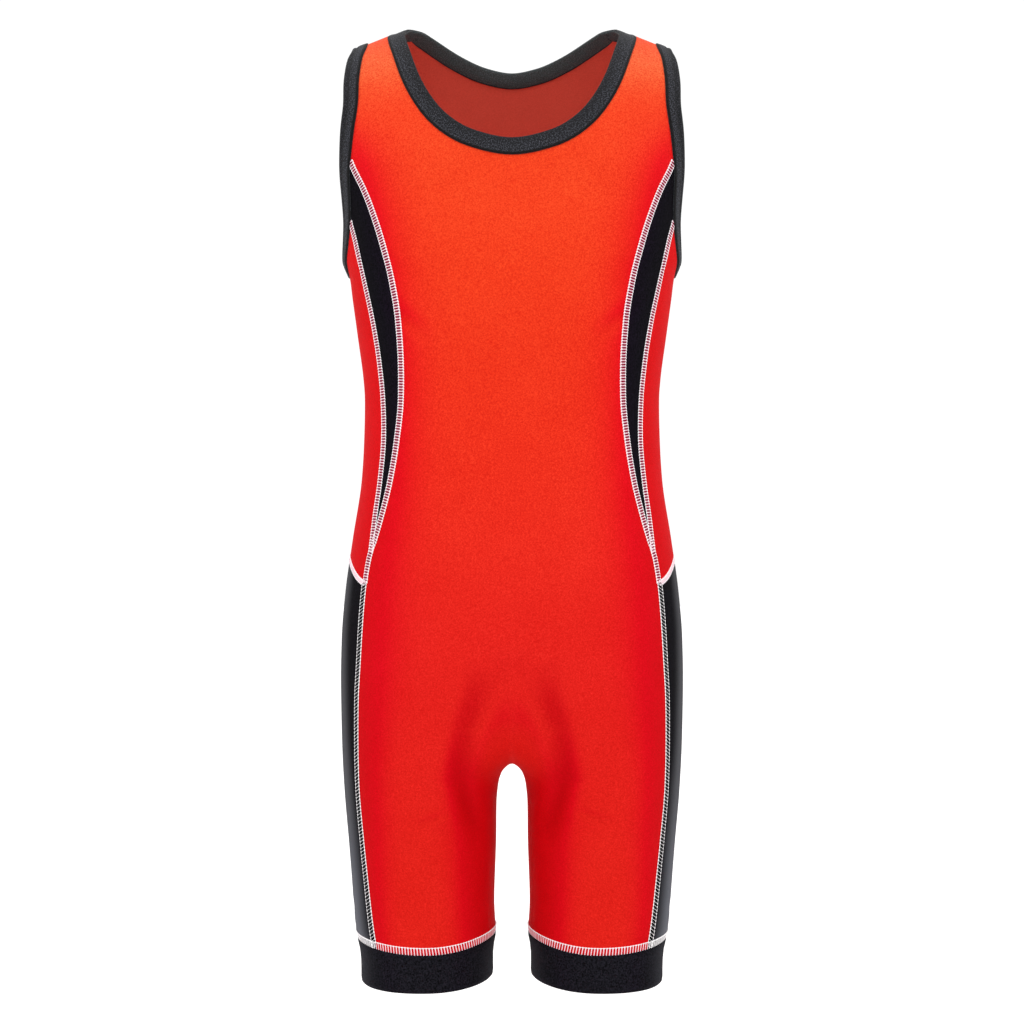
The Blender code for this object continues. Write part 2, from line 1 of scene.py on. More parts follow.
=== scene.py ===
# %% [markdown]
# # A child's wrestling singlet
# The garment is a one-piece suit of red and black stretch knit. It is shown filled out as
# if a child wore it, but nobody is inside, so the neck, the armholes and the two hems are
# open and the hollow shows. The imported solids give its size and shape. Here each of them is
# replaced by cloth that is thinner, rounder and finer, and the sewing is added: flat seams
# whose light threads cross like ladders, folded bindings, and soft creases.

# %% Load the fixed frame
import math

import bpy
import numpy as np
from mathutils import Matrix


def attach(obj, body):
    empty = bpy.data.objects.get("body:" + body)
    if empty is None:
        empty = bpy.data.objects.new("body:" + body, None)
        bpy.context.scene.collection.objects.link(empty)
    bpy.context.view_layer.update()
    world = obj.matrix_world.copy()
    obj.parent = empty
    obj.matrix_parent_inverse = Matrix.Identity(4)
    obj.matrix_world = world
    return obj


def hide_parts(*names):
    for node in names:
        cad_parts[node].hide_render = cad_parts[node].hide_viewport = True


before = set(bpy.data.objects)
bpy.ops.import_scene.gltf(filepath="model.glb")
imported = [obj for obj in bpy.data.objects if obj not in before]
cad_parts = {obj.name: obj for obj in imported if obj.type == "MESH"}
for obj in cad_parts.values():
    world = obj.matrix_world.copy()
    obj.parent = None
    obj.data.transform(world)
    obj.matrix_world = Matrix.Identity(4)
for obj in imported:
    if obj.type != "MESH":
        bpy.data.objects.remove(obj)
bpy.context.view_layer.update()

# %% [markdown]
# The camera stands level with the middle of the garment, straight in front of it, and far
# enough away for a long lens. That is how a shop photographs clothes: near lenses would
# swell the chest and shrink the shoulders. Colours go to the picture unchanged, so that a
# red in the material stays that red.

# %% Camera and colour management
camera = bpy.data.objects.new("camera", bpy.data.cameras.new("camera"))
bpy.context.scene.collection.objects.link(camera)
camera.location = (0, -1.680, -0.3567)
camera.rotation_euler = (math.radians(90), 0, 0)
camera.data.lens = 79.8
camera.data.sensor_width = 36
bpy.context.scene.camera = camera
bpy.context.scene.view_settings.view_transform = "Standard"
print("camera", round(-camera.location.y, 2), "m away, lens", camera.data.lens, "mm")

# %% [markdown]
# Every piece of cloth lies on one smooth hollow form, the shape that a body would give it.
# The tables say how wide and how deep the form is at each height, and where the centre of a
# leg's section is. They are the ones that the solids were made from, so cloth laid on this
# form lies exactly where its solid is. Lengths are metres, and heights count down from the
# crest of the shoulders.

# %% Sizes of the form
LOWEST = -0.7023  # the hem, in front
FORM = (
    # height, half width, front depth, back depth
    (0.000, 0.1700, 0.078, 0.080), (-0.040, 0.1650, 0.078, 0.080),
    (-0.067, 0.1530, 0.078, 0.080), (-0.088, 0.1420, 0.078, 0.080),
    (-0.104, 0.1362, 0.078, 0.080), (-0.129, 0.1296, 0.079, 0.080),
    (-0.148, 0.1258, 0.081, 0.081), (-0.160, 0.1249, 0.082, 0.081),
    (-0.172, 0.1240, 0.083, 0.081), (-0.184, 0.1198, 0.083, 0.081),
    (-0.200, 0.1177, 0.083, 0.081), (-0.229, 0.1137, 0.081, 0.078),
    (-0.259, 0.1097, 0.078, 0.072), (-0.274, 0.1087, 0.077, 0.069),
    (-0.303, 0.1092, 0.076, 0.067), (-0.333, 0.1110, 0.076, 0.069),
    (-0.377, 0.1177, 0.078, 0.076), (-0.415, 0.1230, 0.080, 0.083),
    (-0.451, 0.1258, 0.081, 0.089), (-0.481, 0.1263, 0.080, 0.092),
    (-0.525, 0.1254, 0.076, 0.090), (-0.562, 0.1235, 0.070, 0.082),
    (-0.600, 0.1203, 0.062, 0.070), (-0.644, 0.1169, 0.0560, 0.060),
    (-0.662, 0.1153, 0.0545, 0.057), (-0.680, 0.1108, 0.0535, 0.054),
    (-0.7015, 0.1106, 0.053, 0.053),
)
POWER = 2.2  # how square a section is: 2 is an ellipse
CLEFT = 0.005  # rounds the form where its two sides meet in the middle
LEAST_ROOM = 0.02  # keeps the slope of the shoulders finite at their ends
LEG_CENTRE = (
    # height, centre of one side's section from the middle
    (0.000, 0.0050), (-0.395, 0.0050), (-0.420, 0.0088), (-0.450, 0.0205),
    (-0.480, 0.0360), (-0.500, 0.0465), (-0.520, 0.0560), (-0.535, 0.0622),
    (-0.5424, 0.0649), (-0.549, 0.0668), (-0.558, 0.0676), (-0.570, 0.0677),
    (-0.599, 0.0666), (-0.644, 0.0655), (-0.672, 0.0637), (-0.7015, 0.0628),
)
CROTCH = -0.5424
CAP_START = -0.130  # above this height the form closes to the crest of the shoulders
CREST = 0.0452  # height, slope and roundness of the crest, for crest_height below
CREST_FALL = 0.463
CREST_ROUND = 0.060
print("form:", len(FORM), "heights, legs part", -CROTCH, "m below the crest")

# %% [markdown]
# On the form run the free edges of the neck and the armholes, the seams and the hems. A
# pattern cutter notes such a line as distances from the middle at a few heights, and these
# tables do the same. Only the lines of the wearer's left half are given, and the right half
# mirrors them.

# %% Edges and seams
BINDING_WIDTH = 0.0125
SEAM_GAP = 0.0003  # left between two sewn panels
SHOULDER_SEAM = 0.008  # its distance behind the crest
NECK_EDGE = (
    # distance from the middle, height, -1 in front and 1 behind
    (0.0000, -0.0915, -1), (0.0280, -0.0853, -1), (0.0510, -0.0690, -1),
    (0.0668, -0.0430, -1), (0.0755, -0.0180, -1), (0.0745, 0.0004, 1),
    (0.0685, 0.0022, 1), (0.0610, -0.0004, 1), (0.0370, -0.0117, 1), (0.0190, -0.0183, 1),
    (0.0000, -0.0214, 1),
)
ARMHOLE_EDGE = (
    # height, half of the opening's length from front to back
    (-0.0160, 0.0000), (-0.0188, 0.0132), (-0.0276, 0.0246), (-0.0440, 0.0360),
    (-0.0650, 0.0420), (-0.0880, 0.0385), (-0.1100, 0.0320), (-0.1330, 0.0263),
    (-0.1550, 0.0185), (-0.1675, 0.0100), (-0.1720, 0.0000),
)
SIDE_REACH = (0.060, 0.200)  # where the armhole's edge is looked for, out from the middle
INSERT_SEAMS = (
    # height, seam to the front panel, seam to the side panel
    (-0.0980, 0.1185, 0.1215), (-0.1090, 0.1143, 0.1205), (-0.1244, 0.1068, 0.1192),
    (-0.1400, 0.1006, 0.1182), (-0.1620, 0.0934, 0.1131), (-0.1910, 0.0859, 0.1065),
    (-0.2200, 0.0812, 0.1002), (-0.2480, 0.0794, 0.0957), (-0.2770, 0.0795, 0.0929),
    (-0.3050, 0.0825, 0.0925), (-0.3340, 0.0874, 0.0951), (-0.3620, 0.0944, 0.0990),
    (-0.3810, 0.1001, 0.1010),
)
SIDE_SEAM = (
    # height, seam of the front or back panel below the insert
    (-0.3620, 0.0975), (-0.3810, 0.1005), (-0.3910, 0.1031), (-0.4080, 0.1058),
    (-0.4345, 0.1081), (-0.4635, 0.1097), (-0.4920, 0.1111), (-0.5210, 0.1112),
    (-0.5505, 0.1106), (-0.5940, 0.1075), (-0.6230, 0.1047), (-0.6526, 0.1015),
    (-0.6720, 0.0985),
)
FRONT_SEAM_TOP = -0.085  # below these heights the two seams leave the armhole
OUTER_SEAM_TOP = -0.120
INSERT_TIP = -0.3785
HIP_SEAM_SIDE = -0.390  # the hip seam at the side, where it is highest
HIP_SEAM_ENDS = -0.408
HIP_SEAM_ARCH = 1.5  # how late its ends rise
INSEAM_TURN = 20.0  # degrees that the inseam lies in front of the leg's inner line
INSEAM_SETTLES = -0.585
SEAT_TOP = -0.450
SEAT_BULGE = 0.030  # how far rows of cloth are bowed out near the crotch
HEM = (
    # degrees from the outermost line to the front, seam height, lowest edge's height;
    # the first and last rows repeat others, so that the curve closes smoothly
    (-180, -0.6660, -0.6975), (-90, -0.6680, -0.6990), (0, -0.6690, -0.7015),
    (90, -0.6745, -0.7023), (180, -0.6660, -0.6975), (270, -0.6680, -0.6990),
    (360, -0.6690, -0.7015),
)
print("points: neck", len(NECK_EDGE), "armhole", len(ARMHOLE_EDGE), "side seams",
      len(INSERT_SEAMS) + len(SIDE_SEAM))

# %% [markdown]
# The solids are drawn with a point every 12 mm or so. Cloth that bends softly needs more,
# so the same counts are taken four times over here. The points are then 3 to 4 mm apart,
# fine enough for a crease 15 mm wide and still light enough to turn in the viewport.

# %% Grid counts
DETAIL = 4
COLUMNS = 8 * DETAIL
INSERT_COLUMNS = 3 * DETAIL
SIDE_COLUMNS = 6 * DETAIL
NECK_FRONT_ROWS = 10 * DETAIL
NECK_BACK_ROWS = 7 * DETAIL
ARM_FRONT_ROWS = 7 * DETAIL
ARM_BACK_ROWS = 12 * DETAIL
INSERT_ROWS = 20 * DETAIL
HIP_ROWS = 2 * DETAIL
LEG_ROWS = 21 * DETAIL
CENTRE_FRONT_ROWS = 21 * DETAIL
CENTRE_BACK_ROWS = 29 * DETAIL
SEAT_ROWS = 9 * DETAIL
INSEAM_ROWS = 10 * DETAIL
INSEAM_CROWDING = 1.6  # rows are closer together at the crotch
FINE = 400  # points of a line before it is cut into steps
FINE_COLUMNS = 2
SETTLE_STEPS = 10  # a point moves on to the form in so many steps at most,
SETTLE_REACH = 0.020  # each no longer than this,
SETTLED = 0.0000005  # and stops when the last one was shorter than this
SEARCH_STEPS = 40
LEG_SEAM_TRIES = 6
SLOPE_STEP = 0.00002
print("rows down the front:", NECK_FRONT_ROWS + CENTRE_FRONT_ROWS + SEAT_ROWS + INSEAM_ROWS)

# %% [markdown]
# A table of a dozen heights has to be read in between as well, and straight lines between
# its rows would show as flat bands across the chest. This reader draws a smooth curve
# through each column that doesn't overshoot where the values turn, as a bent strip of wood
# would between nails.

# %% Read a table smoothly
def smooth(table, column):
    """Return a function that runs smoothly through one column, read by the first."""
    rows = sorted(table)
    place = np.array([row[0] for row in rows])
    value = np.array([row[column] for row in rows])
    rise = np.diff(value) / np.diff(place)
    before = 2 * rise[0] - rise[1]
    after = 2 * rise[-1] - rise[-2]
    rise = np.concatenate(([2 * before - rise[0], before], rise, [after, 2 * after - rise[-1]]))
    change = np.abs(np.diff(rise)) + np.abs(rise[1:] + rise[:-1]) / 2 + 1e-12
    slope = (change[2:] * rise[1:-2] + change[:-2] * rise[2:-1]) / (change[2:] + change[:-2])

    def read(at):
        at = np.clip(at, place[0], place[-1])
        left = np.clip(np.searchsorted(place, at, side="right") - 1, 0, len(place) - 2)
        step = place[left + 1] - place[left]
        t = (at - place[left]) / step
        return ((1 + 2 * t) * (1 - t) ** 2 * value[left]
                + t * (1 - t) ** 2 * step * slope[left]
                + t ** 2 * (3 - 2 * t) * value[left + 1]
                + t ** 2 * (t - 1) * step * slope[left + 1])

    return read


half_width = smooth(FORM, 1)
front_depth = smooth(FORM, 2)
back_depth = smooth(FORM, 3)
leg_centre = smooth(LEG_CENTRE, 1)
insert_seam = smooth(INSERT_SEAMS, 1)
outer_seam = smooth(INSERT_SEAMS, 2)
side_seam = smooth(SIDE_SEAM, 1)
hem_seam = smooth(HEM, 1)
hem_edge = smooth(HEM, 2)
print("half width at the waist:", round(float(half_width(-0.29)) * 1000, 1), "mm")

# %% [markdown]
# The form could be modelled as a mesh and the cloth wrapped on to it with a Shrinkwrap. A
# formula does the same with no mesh between: it gives a number that is below zero inside
# the form and above it outside, and its slope points straight out of the surface. Any point
# can then be moved on to the form, and every piece knows which way is out.

# %% The form and its outward direction
def crest_height(x):
    """Height of the shoulder crest at a distance from the middle."""
    return CREST - CREST_FALL * np.hypot(x, CREST_ROUND)


def share_across(x, z):
    """How far out a point is: 0 at the centre of its side's section, 1 at the outline."""
    centre = leg_centre(z)
    return (np.hypot(x, CLEFT) - centre) / (np.hypot(half_width(z), CLEFT) - centre)


def field(points):
    """Below zero inside the form, above it outside."""
    x, y, z = np.moveaxis(np.asarray(points), -1, 0)
    across = np.abs(share_across(x, z)) ** POWER
    depth = np.where(y < 0, front_depth(z), back_depth(z))
    level = np.abs(y / depth) ** POWER + across - 1
    room = np.maximum(1 - across, LEAST_ROOM)
    climb = np.maximum(z - CAP_START, 0) / (crest_height(x) - CAP_START)
    reach = y / (depth * room ** (1 / POWER))
    capped = POWER / 2 * room * (reach ** 2 + climb ** 2 - 1)
    return np.where(z > CAP_START, capped, level)


def gradient(points):
    """Slope of the field along x, y and z."""
    points = np.asarray(points, dtype=float)
    slopes = []
    for step in np.eye(3) * SLOPE_STEP:
        slopes.append((field(points + step) - field(points - step)) / (2 * SLOPE_STEP))
    return np.stack(slopes, axis=-1)


def unit(vectors):
    """Vectors of length one."""
    return vectors / np.linalg.norm(vectors, axis=-1, keepdims=True)


def outward(points):
    """The form's outward normals."""
    return unit(gradient(points))


def settle(points):
    """Move points on to the form by the shortest way."""
    points = np.array(points, dtype=float)
    for _ in range(SETTLE_STEPS):
        slope = gradient(points)
        step = -field(points)[..., None] * slope / np.sum(slope ** 2, axis=-1, keepdims=True)
        length = np.linalg.norm(step, axis=-1, keepdims=True)
        points += step * np.minimum(1, SETTLE_REACH / np.maximum(length, 1e-12))
        if length.max() < SETTLED:
            break
    return points


print("outward at the chest:", outward(settle([[0.0, -0.08, -0.2]]))[0].round(2))

# %% [markdown]
# Three ways of naming a point on the form are handy. The front and the back are drawn by
# distance from the middle and height, as a pattern cutter draws them. The legs are drawn by
# height and turn. The armhole's edge is drawn as it is seen from the side.

# %% Points on the form
def on_form(x, z, side):
    """Points at a distance from the middle and a height, in front (-1) or behind (1)."""
    x, z = np.broadcast_arrays(np.asarray(x, dtype=float), np.asarray(z, dtype=float))
    room = np.maximum(1 - np.abs(share_across(x, z)) ** POWER, 0)
    climb = np.maximum(z - CAP_START, 0) / (crest_height(x) - CAP_START)
    depth = front_depth(z) if side < 0 else back_depth(z)
    y = side * depth * room ** (1 / POWER) * np.sqrt(np.maximum(1 - climb ** 2, 0))
    return np.stack([x, y, z], axis=-1)


def round_leg(z, turn):
    """Points at a height, turned in degrees from the outermost line towards the front."""
    z, turn = np.broadcast_arrays(np.asarray(z, dtype=float), np.radians(turn))
    centre = leg_centre(z)
    radius = np.hypot(half_width(z), CLEFT) - centre
    over = np.sign(np.cos(turn)) * np.abs(np.cos(turn)) ** (2 / POWER)
    ahead = np.sign(np.sin(turn)) * np.abs(np.sin(turn)) ** (2 / POWER)
    spread = np.maximum(centre + radius * over, CLEFT)
    depth = np.where(ahead > 0, front_depth(z), back_depth(z))
    return np.stack([np.sqrt(spread ** 2 - CLEFT ** 2), -depth * ahead, z], axis=-1)


def turn_of(points):
    """The turn in degrees of points on the form, as round_leg reads it."""
    x, y, z = np.moveaxis(points, -1, 0)
    over = share_across(x, z)
    ahead = -y / np.where(y < 0, front_depth(z), back_depth(z))
    half = POWER / 2
    return np.degrees(np.arctan2(np.sign(ahead) * np.abs(ahead) ** half,
                                 np.sign(over) * np.abs(over) ** half))


def at_side(y, z):
    """The point of the form straight out to the side from a depth and a height."""
    near, far = SIDE_REACH
    for _ in range(SEARCH_STEPS):
        middle = (near + far) / 2
        if field((middle, y, z)) < 0:
            near = middle
        else:
            far = middle
    return near, y, z


print("outermost point of the hip:", round_leg(-0.48, 0.0).round(3))

# %% [markdown]
# Seams are drawn as fine lines first and then cut into even steps, because two pieces that
# are sewn together must have the same points along their seam.

# %% Lines and even steps
def lengths(points):
    """Length along a line at each of its points."""
    steps = np.linalg.norm(np.diff(points, axis=0), axis=1)
    return np.concatenate(([0], np.cumsum(steps)))


def read_along(points, along, at):
    """Points of a line at the given lengths."""
    return np.stack([np.interp(at, along, column) for column in points.T], axis=-1)


def even(points, count, crowding=1.0):
    """Points that cut a line into a count of steps, even unless crowded to its start."""
    along = lengths(points)
    return read_along(points, along, along[-1] * np.linspace(0, 1, count + 1) ** crowding)


def closed_curve(points):
    """A fine smooth closed line through points on the form."""
    points = np.asarray(points, dtype=float)
    looped = np.concatenate((points[-3:], points, points[:4]))
    along = lengths(looped)
    table = [(at, *point) for at, point in zip(along, looped)]
    at = np.linspace(along[3], along[3 + len(points)], 2 * FINE + 1)
    return settle(np.stack([smooth(table, column)(at) for column in (1, 2, 3)], axis=-1))


def stretch(edge, seam, start, end, count):
    """Matching points of an edge and its seam between two indices, even on the seam."""
    at = np.linspace(start, end, FINE)
    index = np.arange(len(seam))
    fine_edge = read_along(edge, index, at)
    fine_seam = read_along(seam, index, at)
    along = lengths(fine_seam)
    picked = along[-1] * np.linspace(0, 1, count + 1)
    return read_along(fine_edge, along, picked), read_along(fine_seam, along, picked)


def join(*lines):
    """One line from lines that share their end points."""
    return np.concatenate([lines[0]] + [line[1:] for line in lines[1:]])


def crossing(value):
    """Index, with its fraction, where a value along a line first changes sign."""
    change = np.nonzero(np.diff(np.sign(value)))[0][0]
    share = value[change] / (value[change] - value[change + 1])
    return change + share


def meets(ring, seam, below):
    """Index, with its fraction, where a ring first meets a seam below a height."""
    start = np.nonzero(ring[:, 2] < below)[0][0]
    return start + crossing(ring[start:, 0] - seam(ring[start:, 2]))


waist = round_leg(-0.29, np.linspace(-90, 90, 99))
print("half round the waist:", round(lengths(waist)[-1] * 1000), "mm")

# %% [markdown]
# The neck and the armholes are bound with a strip 12.5 mm wide. Their free edge is drawn
# first, and the seam where the strip is sewn on lies one strip's width away from it over the
# form. Where the side seams reach the armhole, its ring is cut into four stretches, so that
# the insert, the side panel and the front and back panels each get their own.

# %% Rings of the neck and the armholes
BINDING_STEPS = 4  # the seam moves over the form in so many steps


def seam_of_binding(edge):
    """The seam line one binding's width to the left of a free edge, over the form."""
    ring = np.concatenate((edge[-2:-1], edge, edge[1:2]))
    along = unit(ring[2:] - ring[:-2])
    across = np.cross(along, outward(edge))
    seam = edge
    for _ in range(BINDING_STEPS):
        seam = settle(seam + across * BINDING_WIDTH / BINDING_STEPS)
    return seam


def neck_rings():
    """The neck's free edge and seam, from the front's middle round +X and back."""
    half = [on_form(x, z, side) for x, z, side in NECK_EDGE]
    other = [point * (-1, 1, 1) for point in half[-2:0:-1]]
    edge = closed_curve(half + other)
    return edge, seam_of_binding(edge)


def armhole_rings():
    """The free edge and the seam of the +X armhole, from the crest down the front."""
    front = [at_side(-length, z) for z, length in ARMHOLE_EDGE]
    back = [(x, -y, z) for x, y, z in front[-2:0:-1]]
    edge = closed_curve(front + back)
    return edge, seam_of_binding(edge)


LINES = {}
neck_edge, neck_seam = neck_rings()
behind = crossing(neck_seam[:, 1] - SHOULDER_SEAM)
LINES["neck front"] = stretch(neck_edge, neck_seam, 0, behind, NECK_FRONT_ROWS)
LINES["neck back"] = stretch(neck_edge, neck_seam, behind, FINE, NECK_BACK_ROWS)
arm_edge, arm_seam = armhole_rings()
first = meets(arm_seam, insert_seam, FRONT_SEAM_TOP)
second = meets(arm_seam, outer_seam, OUTER_SEAM_TOP)
third = 2 * FINE - second
top = 2 * FINE - crossing(-arm_seam[:, 1] - SHOULDER_SEAM)
twice = [np.concatenate((ring, ring[1:])) for ring in (arm_edge, arm_seam)]
LINES["arm front"] = stretch(*twice, top, first + 2 * FINE, ARM_FRONT_ROWS)
LINES["arm insert"] = stretch(arm_edge, arm_seam, first, second, INSERT_COLUMNS)
LINES["arm side"] = stretch(arm_edge, arm_seam, second, third, SIDE_COLUMNS)
LINES["arm back"] = stretch(arm_edge, arm_seam, third, top, ARM_BACK_ROWS)
print("neck binding:", round(lengths(neck_edge)[-1] * 1000), "mm round, armhole:",
      round(lengths(arm_edge)[-1] * 1000), "mm round")

# %% [markdown]
# Below the arm, two seams run down each side of the front with a narrow black insert
# between them. They meet in a tip above the hip, and from there one seam runs down the leg
# to the hem. A curved seam over the hip parts the red side from the black leg. The back
# carries the same outer seam with no insert. Between the legs the front and back panels
# meet at the inseam.

# %% Helpers for the seam lines
def middle_line(side, straight_rows, top):
    """A panel's middle below the neck: its straight part, then the part under the seat."""
    z = np.linspace(top, SEAT_TOP, FINE)
    straight = even(on_form(0 * z, z, side), straight_rows)
    drop = np.linspace(0, np.pi / 2, FINE)
    z = SEAT_TOP + (CROTCH - SEAT_TOP) * np.sin(drop)
    under = on_form(0 * z, z, side)
    under[-1] = (0, 0, CROTCH)
    return straight, even(under, SEAT_ROWS)


def at_hem(read, turns):
    """Heights of the hem's table at any turns round the leg."""
    return read(np.mod(turns + 90, 360) - 90)


def inseam():
    """The inseam from the crotch to the hem seam."""
    end = at_hem(hem_seam, 180 - INSEAM_TURN)
    z = CROTCH + (end - CROTCH) * np.linspace(0, 1, FINE) ** 2
    settled = np.clip((CROTCH - z) / (CROTCH - INSEAM_SETTLES), 0, 1)
    turn = 180 - INSEAM_TURN * settled * settled * (3 - 2 * settled)
    line = round_leg(z, turn)
    line[0] = (0, 0, CROTCH)
    return even(line, INSEAM_ROWS, INSEAM_CROWDING)


def leg_seam(side):
    """The seam down the leg in front (-1) or behind (1), from the hip to the hem."""
    end = at_hem(hem_seam, 0)
    for _ in range(LEG_SEAM_TRIES):
        end = at_hem(hem_seam, turn_of(on_form(side_seam(end), end, side)))
    z = np.linspace(HIP_SEAM_ENDS, end, FINE)
    return even(on_form(side_seam(z), z, side), LEG_ROWS)


def level_line(start, end, heights, columns):
    """A line round the leg between two points of the form, at the given heights."""
    turns = np.linspace(turn_of(start), turn_of(end), FINE)
    return even(round_leg(heights, turns), columns)


print("hem seam, m down in front and behind:",
      [round(float(-at_hem(hem_seam, turn)), 4) for turn in (90, -90)])

# %% [markdown]
# The lines are drawn in the order in which they meet: from the armhole down to the tip of
# the insert, over the hip, down the leg and round the hem. Each starts where the last one
# ended. The two short lines over the hip are led there softly, since the table's curve passes
# a little beside the insert's tip.

# %% Seam lines of one half
start = LINES["arm insert"][1][0]
z = np.linspace(start[2], INSERT_TIP, FINE)
LINES["insert front"] = even(on_form(insert_seam(z), z, -1), INSERT_ROWS)
start = LINES["arm side"][1][0]
z = np.linspace(start[2], INSERT_TIP, FINE)
LINES["insert side"] = even(on_form(outer_seam(z), z, -1), INSERT_ROWS)
LINES["side back"] = even(on_form(outer_seam(z), z, 1), INSERT_ROWS)
z = np.linspace(INSERT_TIP, HIP_SEAM_ENDS, FINE)
blend = ((z - INSERT_TIP) / (HIP_SEAM_ENDS - INSERT_TIP))[:, None]
middle = (LINES["insert front"][-1] + LINES["insert side"][-1]) / 2
for name, side, start in (("hip front", -1, middle), ("hip back", 1, LINES["side back"][-1])):
    line = on_form(side_seam(z), z, side)
    line = settle(line + (start - line[0]) * (1 - blend) ** 2)
    LINES[name] = even(line, HIP_ROWS)
LINES["leg front"] = leg_seam(-1)
LINES["leg back"] = leg_seam(1)
arch = np.sin(np.linspace(0, np.pi, FINE)) ** HIP_SEAM_ARCH
heights = HIP_SEAM_ENDS + (HIP_SEAM_SIDE - HIP_SEAM_ENDS) * arch
LINES["hip side"] = level_line(LINES["leg front"][0], LINES["leg back"][0], heights, SIDE_COLUMNS)
LINES["inseam"] = inseam()
turn_in, turn_front, turn_back = (turn_of(LINES[name][-1])
                                  for name in ("inseam", "leg front", "leg back"))
for name, start, end, columns in (("hem front", turn_in, turn_front, COLUMNS),
                                  ("hem side", turn_front, turn_back, SIDE_COLUMNS),
                                  ("hem back", turn_in - 360, turn_back, COLUMNS)):
    turns = np.linspace(start, end, FINE)
    LINES[name] = even(round_leg(at_hem(hem_seam, turns), turns), columns)
LINES["middle front"] = middle_line(-1, CENTRE_FRONT_ROWS, LINES["neck front"][1][0][2])
LINES["middle back"] = middle_line(1, CENTRE_BACK_ROWS, LINES["neck back"][1][-1][2])
shoulder = np.linspace(LINES["neck back"][1][0], LINES["arm back"][1][-1], COLUMNS + 1)
LINES["shoulder"] = settle(shoulder)
LINES["shoulder"][[0, -1]] = shoulder[[0, -1]]
print("seam lines:", len(LINES), "- leg seam", round(lengths(LINES["leg front"])[-1] * 1000), "mm")

# %% [markdown]
# Each panel is now a grid of points between its left and right seams. A row is first a
# straight chord from seam to seam, which then settles on to the form and is cut into even
# steps. Near the crotch the chords are bowed out first, or they would settle on the wrong
# side of the leg.

# %% Fit rows of cloth between two seams
def fit_rows(left, right, top, bottom, columns, bulge=0.0):
    """A grid on the form between a left and a right line, with its end rows given."""
    share = np.linspace(0, 1, columns * FINE_COLUMNS + 1)[:, None]
    even_share = np.linspace(0, 1, columns + 1)[:, None]
    bow_top = top - (top[:1] + (top[-1:] - top[:1]) * even_share)
    bow_bottom = bottom - (bottom[:1] + (bottom[-1:] - bottom[:1]) * even_share)
    grid = [top]
    last = len(left) - 1
    for row in range(1, last):
        start, end = left[row], right[row]
        chord = start + (end - start) * share
        bow = bow_top * (1 - row / last) + bow_bottom * row / last
        chord = chord + np.stack([np.interp(share[:, 0], even_share[:, 0], column)
                                  for column in bow.T], axis=-1)
        depth = (start[2] + end[2]) / 2 - SEAT_TOP
        push = bulge * np.clip(depth / (CROTCH - SEAT_TOP), 0, 1)
        chord[:, 1] += push * np.sin(np.pi * share[:, 0])
        points = settle(even(settle(chord), columns))
        points[0], points[-1] = start, end
        grid.append(points)
    grid.append(bottom)
    return np.array(grid)


straight, under = LINES["middle front"]
FRONT = fit_rows(
    join(LINES["neck front"][1][::-1], straight, under, LINES["inseam"]),
    join(LINES["arm front"][1], LINES["insert front"], LINES["hip front"], LINES["leg front"]),
    LINES["shoulder"], LINES["hem front"], COLUMNS, -SEAT_BULGE)
straight, under = LINES["middle back"]
BACK = fit_rows(
    join(LINES["neck back"][1], straight, under, LINES["inseam"]),
    join(LINES["arm back"][1][::-1], LINES["side back"], LINES["hip back"], LINES["leg back"]),
    LINES["shoulder"], LINES["hem back"], COLUMNS, SEAT_BULGE)
tip = np.linspace(LINES["insert front"][-1], LINES["insert side"][-1], INSERT_COLUMNS + 1)
INSERT = fit_rows(LINES["insert front"], LINES["insert side"], LINES["arm insert"][1], tip,
                  INSERT_COLUMNS)
SIDE = fit_rows(join(LINES["insert side"], LINES["hip front"]),
                join(LINES["side back"], LINES["hip back"]),
                LINES["arm side"][1], LINES["hip side"], SIDE_COLUMNS)
LEG = fit_rows(LINES["leg front"], LINES["leg back"], LINES["hip side"], LINES["hem side"],
               SIDE_COLUMNS)
print("front grid", FRONT.shape[:2], "back grid", BACK.shape[:2], "leg grid", LEG.shape[:2])

# %% [markdown]
# Stretch cloth on a body is almost smooth, but it isn't a balloon. It draws in soft
# troughs with a low ridge on each side, where it turns into the leg, under the arm and in
# the small of the back. They could be simulated, but cloth held this tight hardly moves,
# so short tables place them: where each one starts and ends on the form, how wide
# it is and how deep. Most are alike on both sides of the body, a few are not, as on a body
# that stands a little uneven. Shade gathers in a trough, so the depth is kept for the
# materials too.

# %% Soft creases
CREASES_OF_A_SIDE = (
    # hand, turn and height of the start, turn and height of the end, half width, depth
    (-1, 88, -0.5795, 110, -0.5718, 0.0040, 0.0007),
    (1, 84, -0.5775, 111, -0.5690, 0.0040, 0.0007),
    (1, -92, -0.2950, -58, -0.2860, 0.0090, 0.0010),
    (-1, -92, -0.3010, -52, -0.2960, 0.0090, 0.0009),
    (1, -90, -0.3260, -64, -0.3220, 0.0080, 0.0007),
    (-1, -90, -0.3230, -60, -0.3120, 0.0080, 0.0007),
)
CREASES_OF_BOTH = (
    # the same without the hand
    (106, -0.5120, 141, -0.5960, 0.0130, 0.0023),  # down the inside of the leg
    (88, -0.4580, 114, -0.5560, 0.0130, 0.0023),  # from the belly into the leg
    (98, -0.4540, 106, -0.5140, 0.0140, 0.0011),
    (36, -0.2000, 62, -0.2320, 0.0080, 0.0006),  # under the arm, in front and behind
    (-48, -0.1850, -72, -0.2240, 0.0090, 0.0009),
    (-72, -0.5560, -132, -0.5430, 0.0080, 0.0010),  # under the seat
    (-80, -0.5780, -136, -0.5720, 0.0070, 0.0006),
    (14, -0.6480, -24, -0.6400, 0.0060, 0.0004),  # outside of the leg, over the hem
)
CREASES = CREASES_OF_A_SIDE + tuple((hand, *row) for row in CREASES_OF_BOTH for hand in (-1, 1))
DEEPEST = max(row[-1] for row in CREASES)
CREASE_STEPS = 24
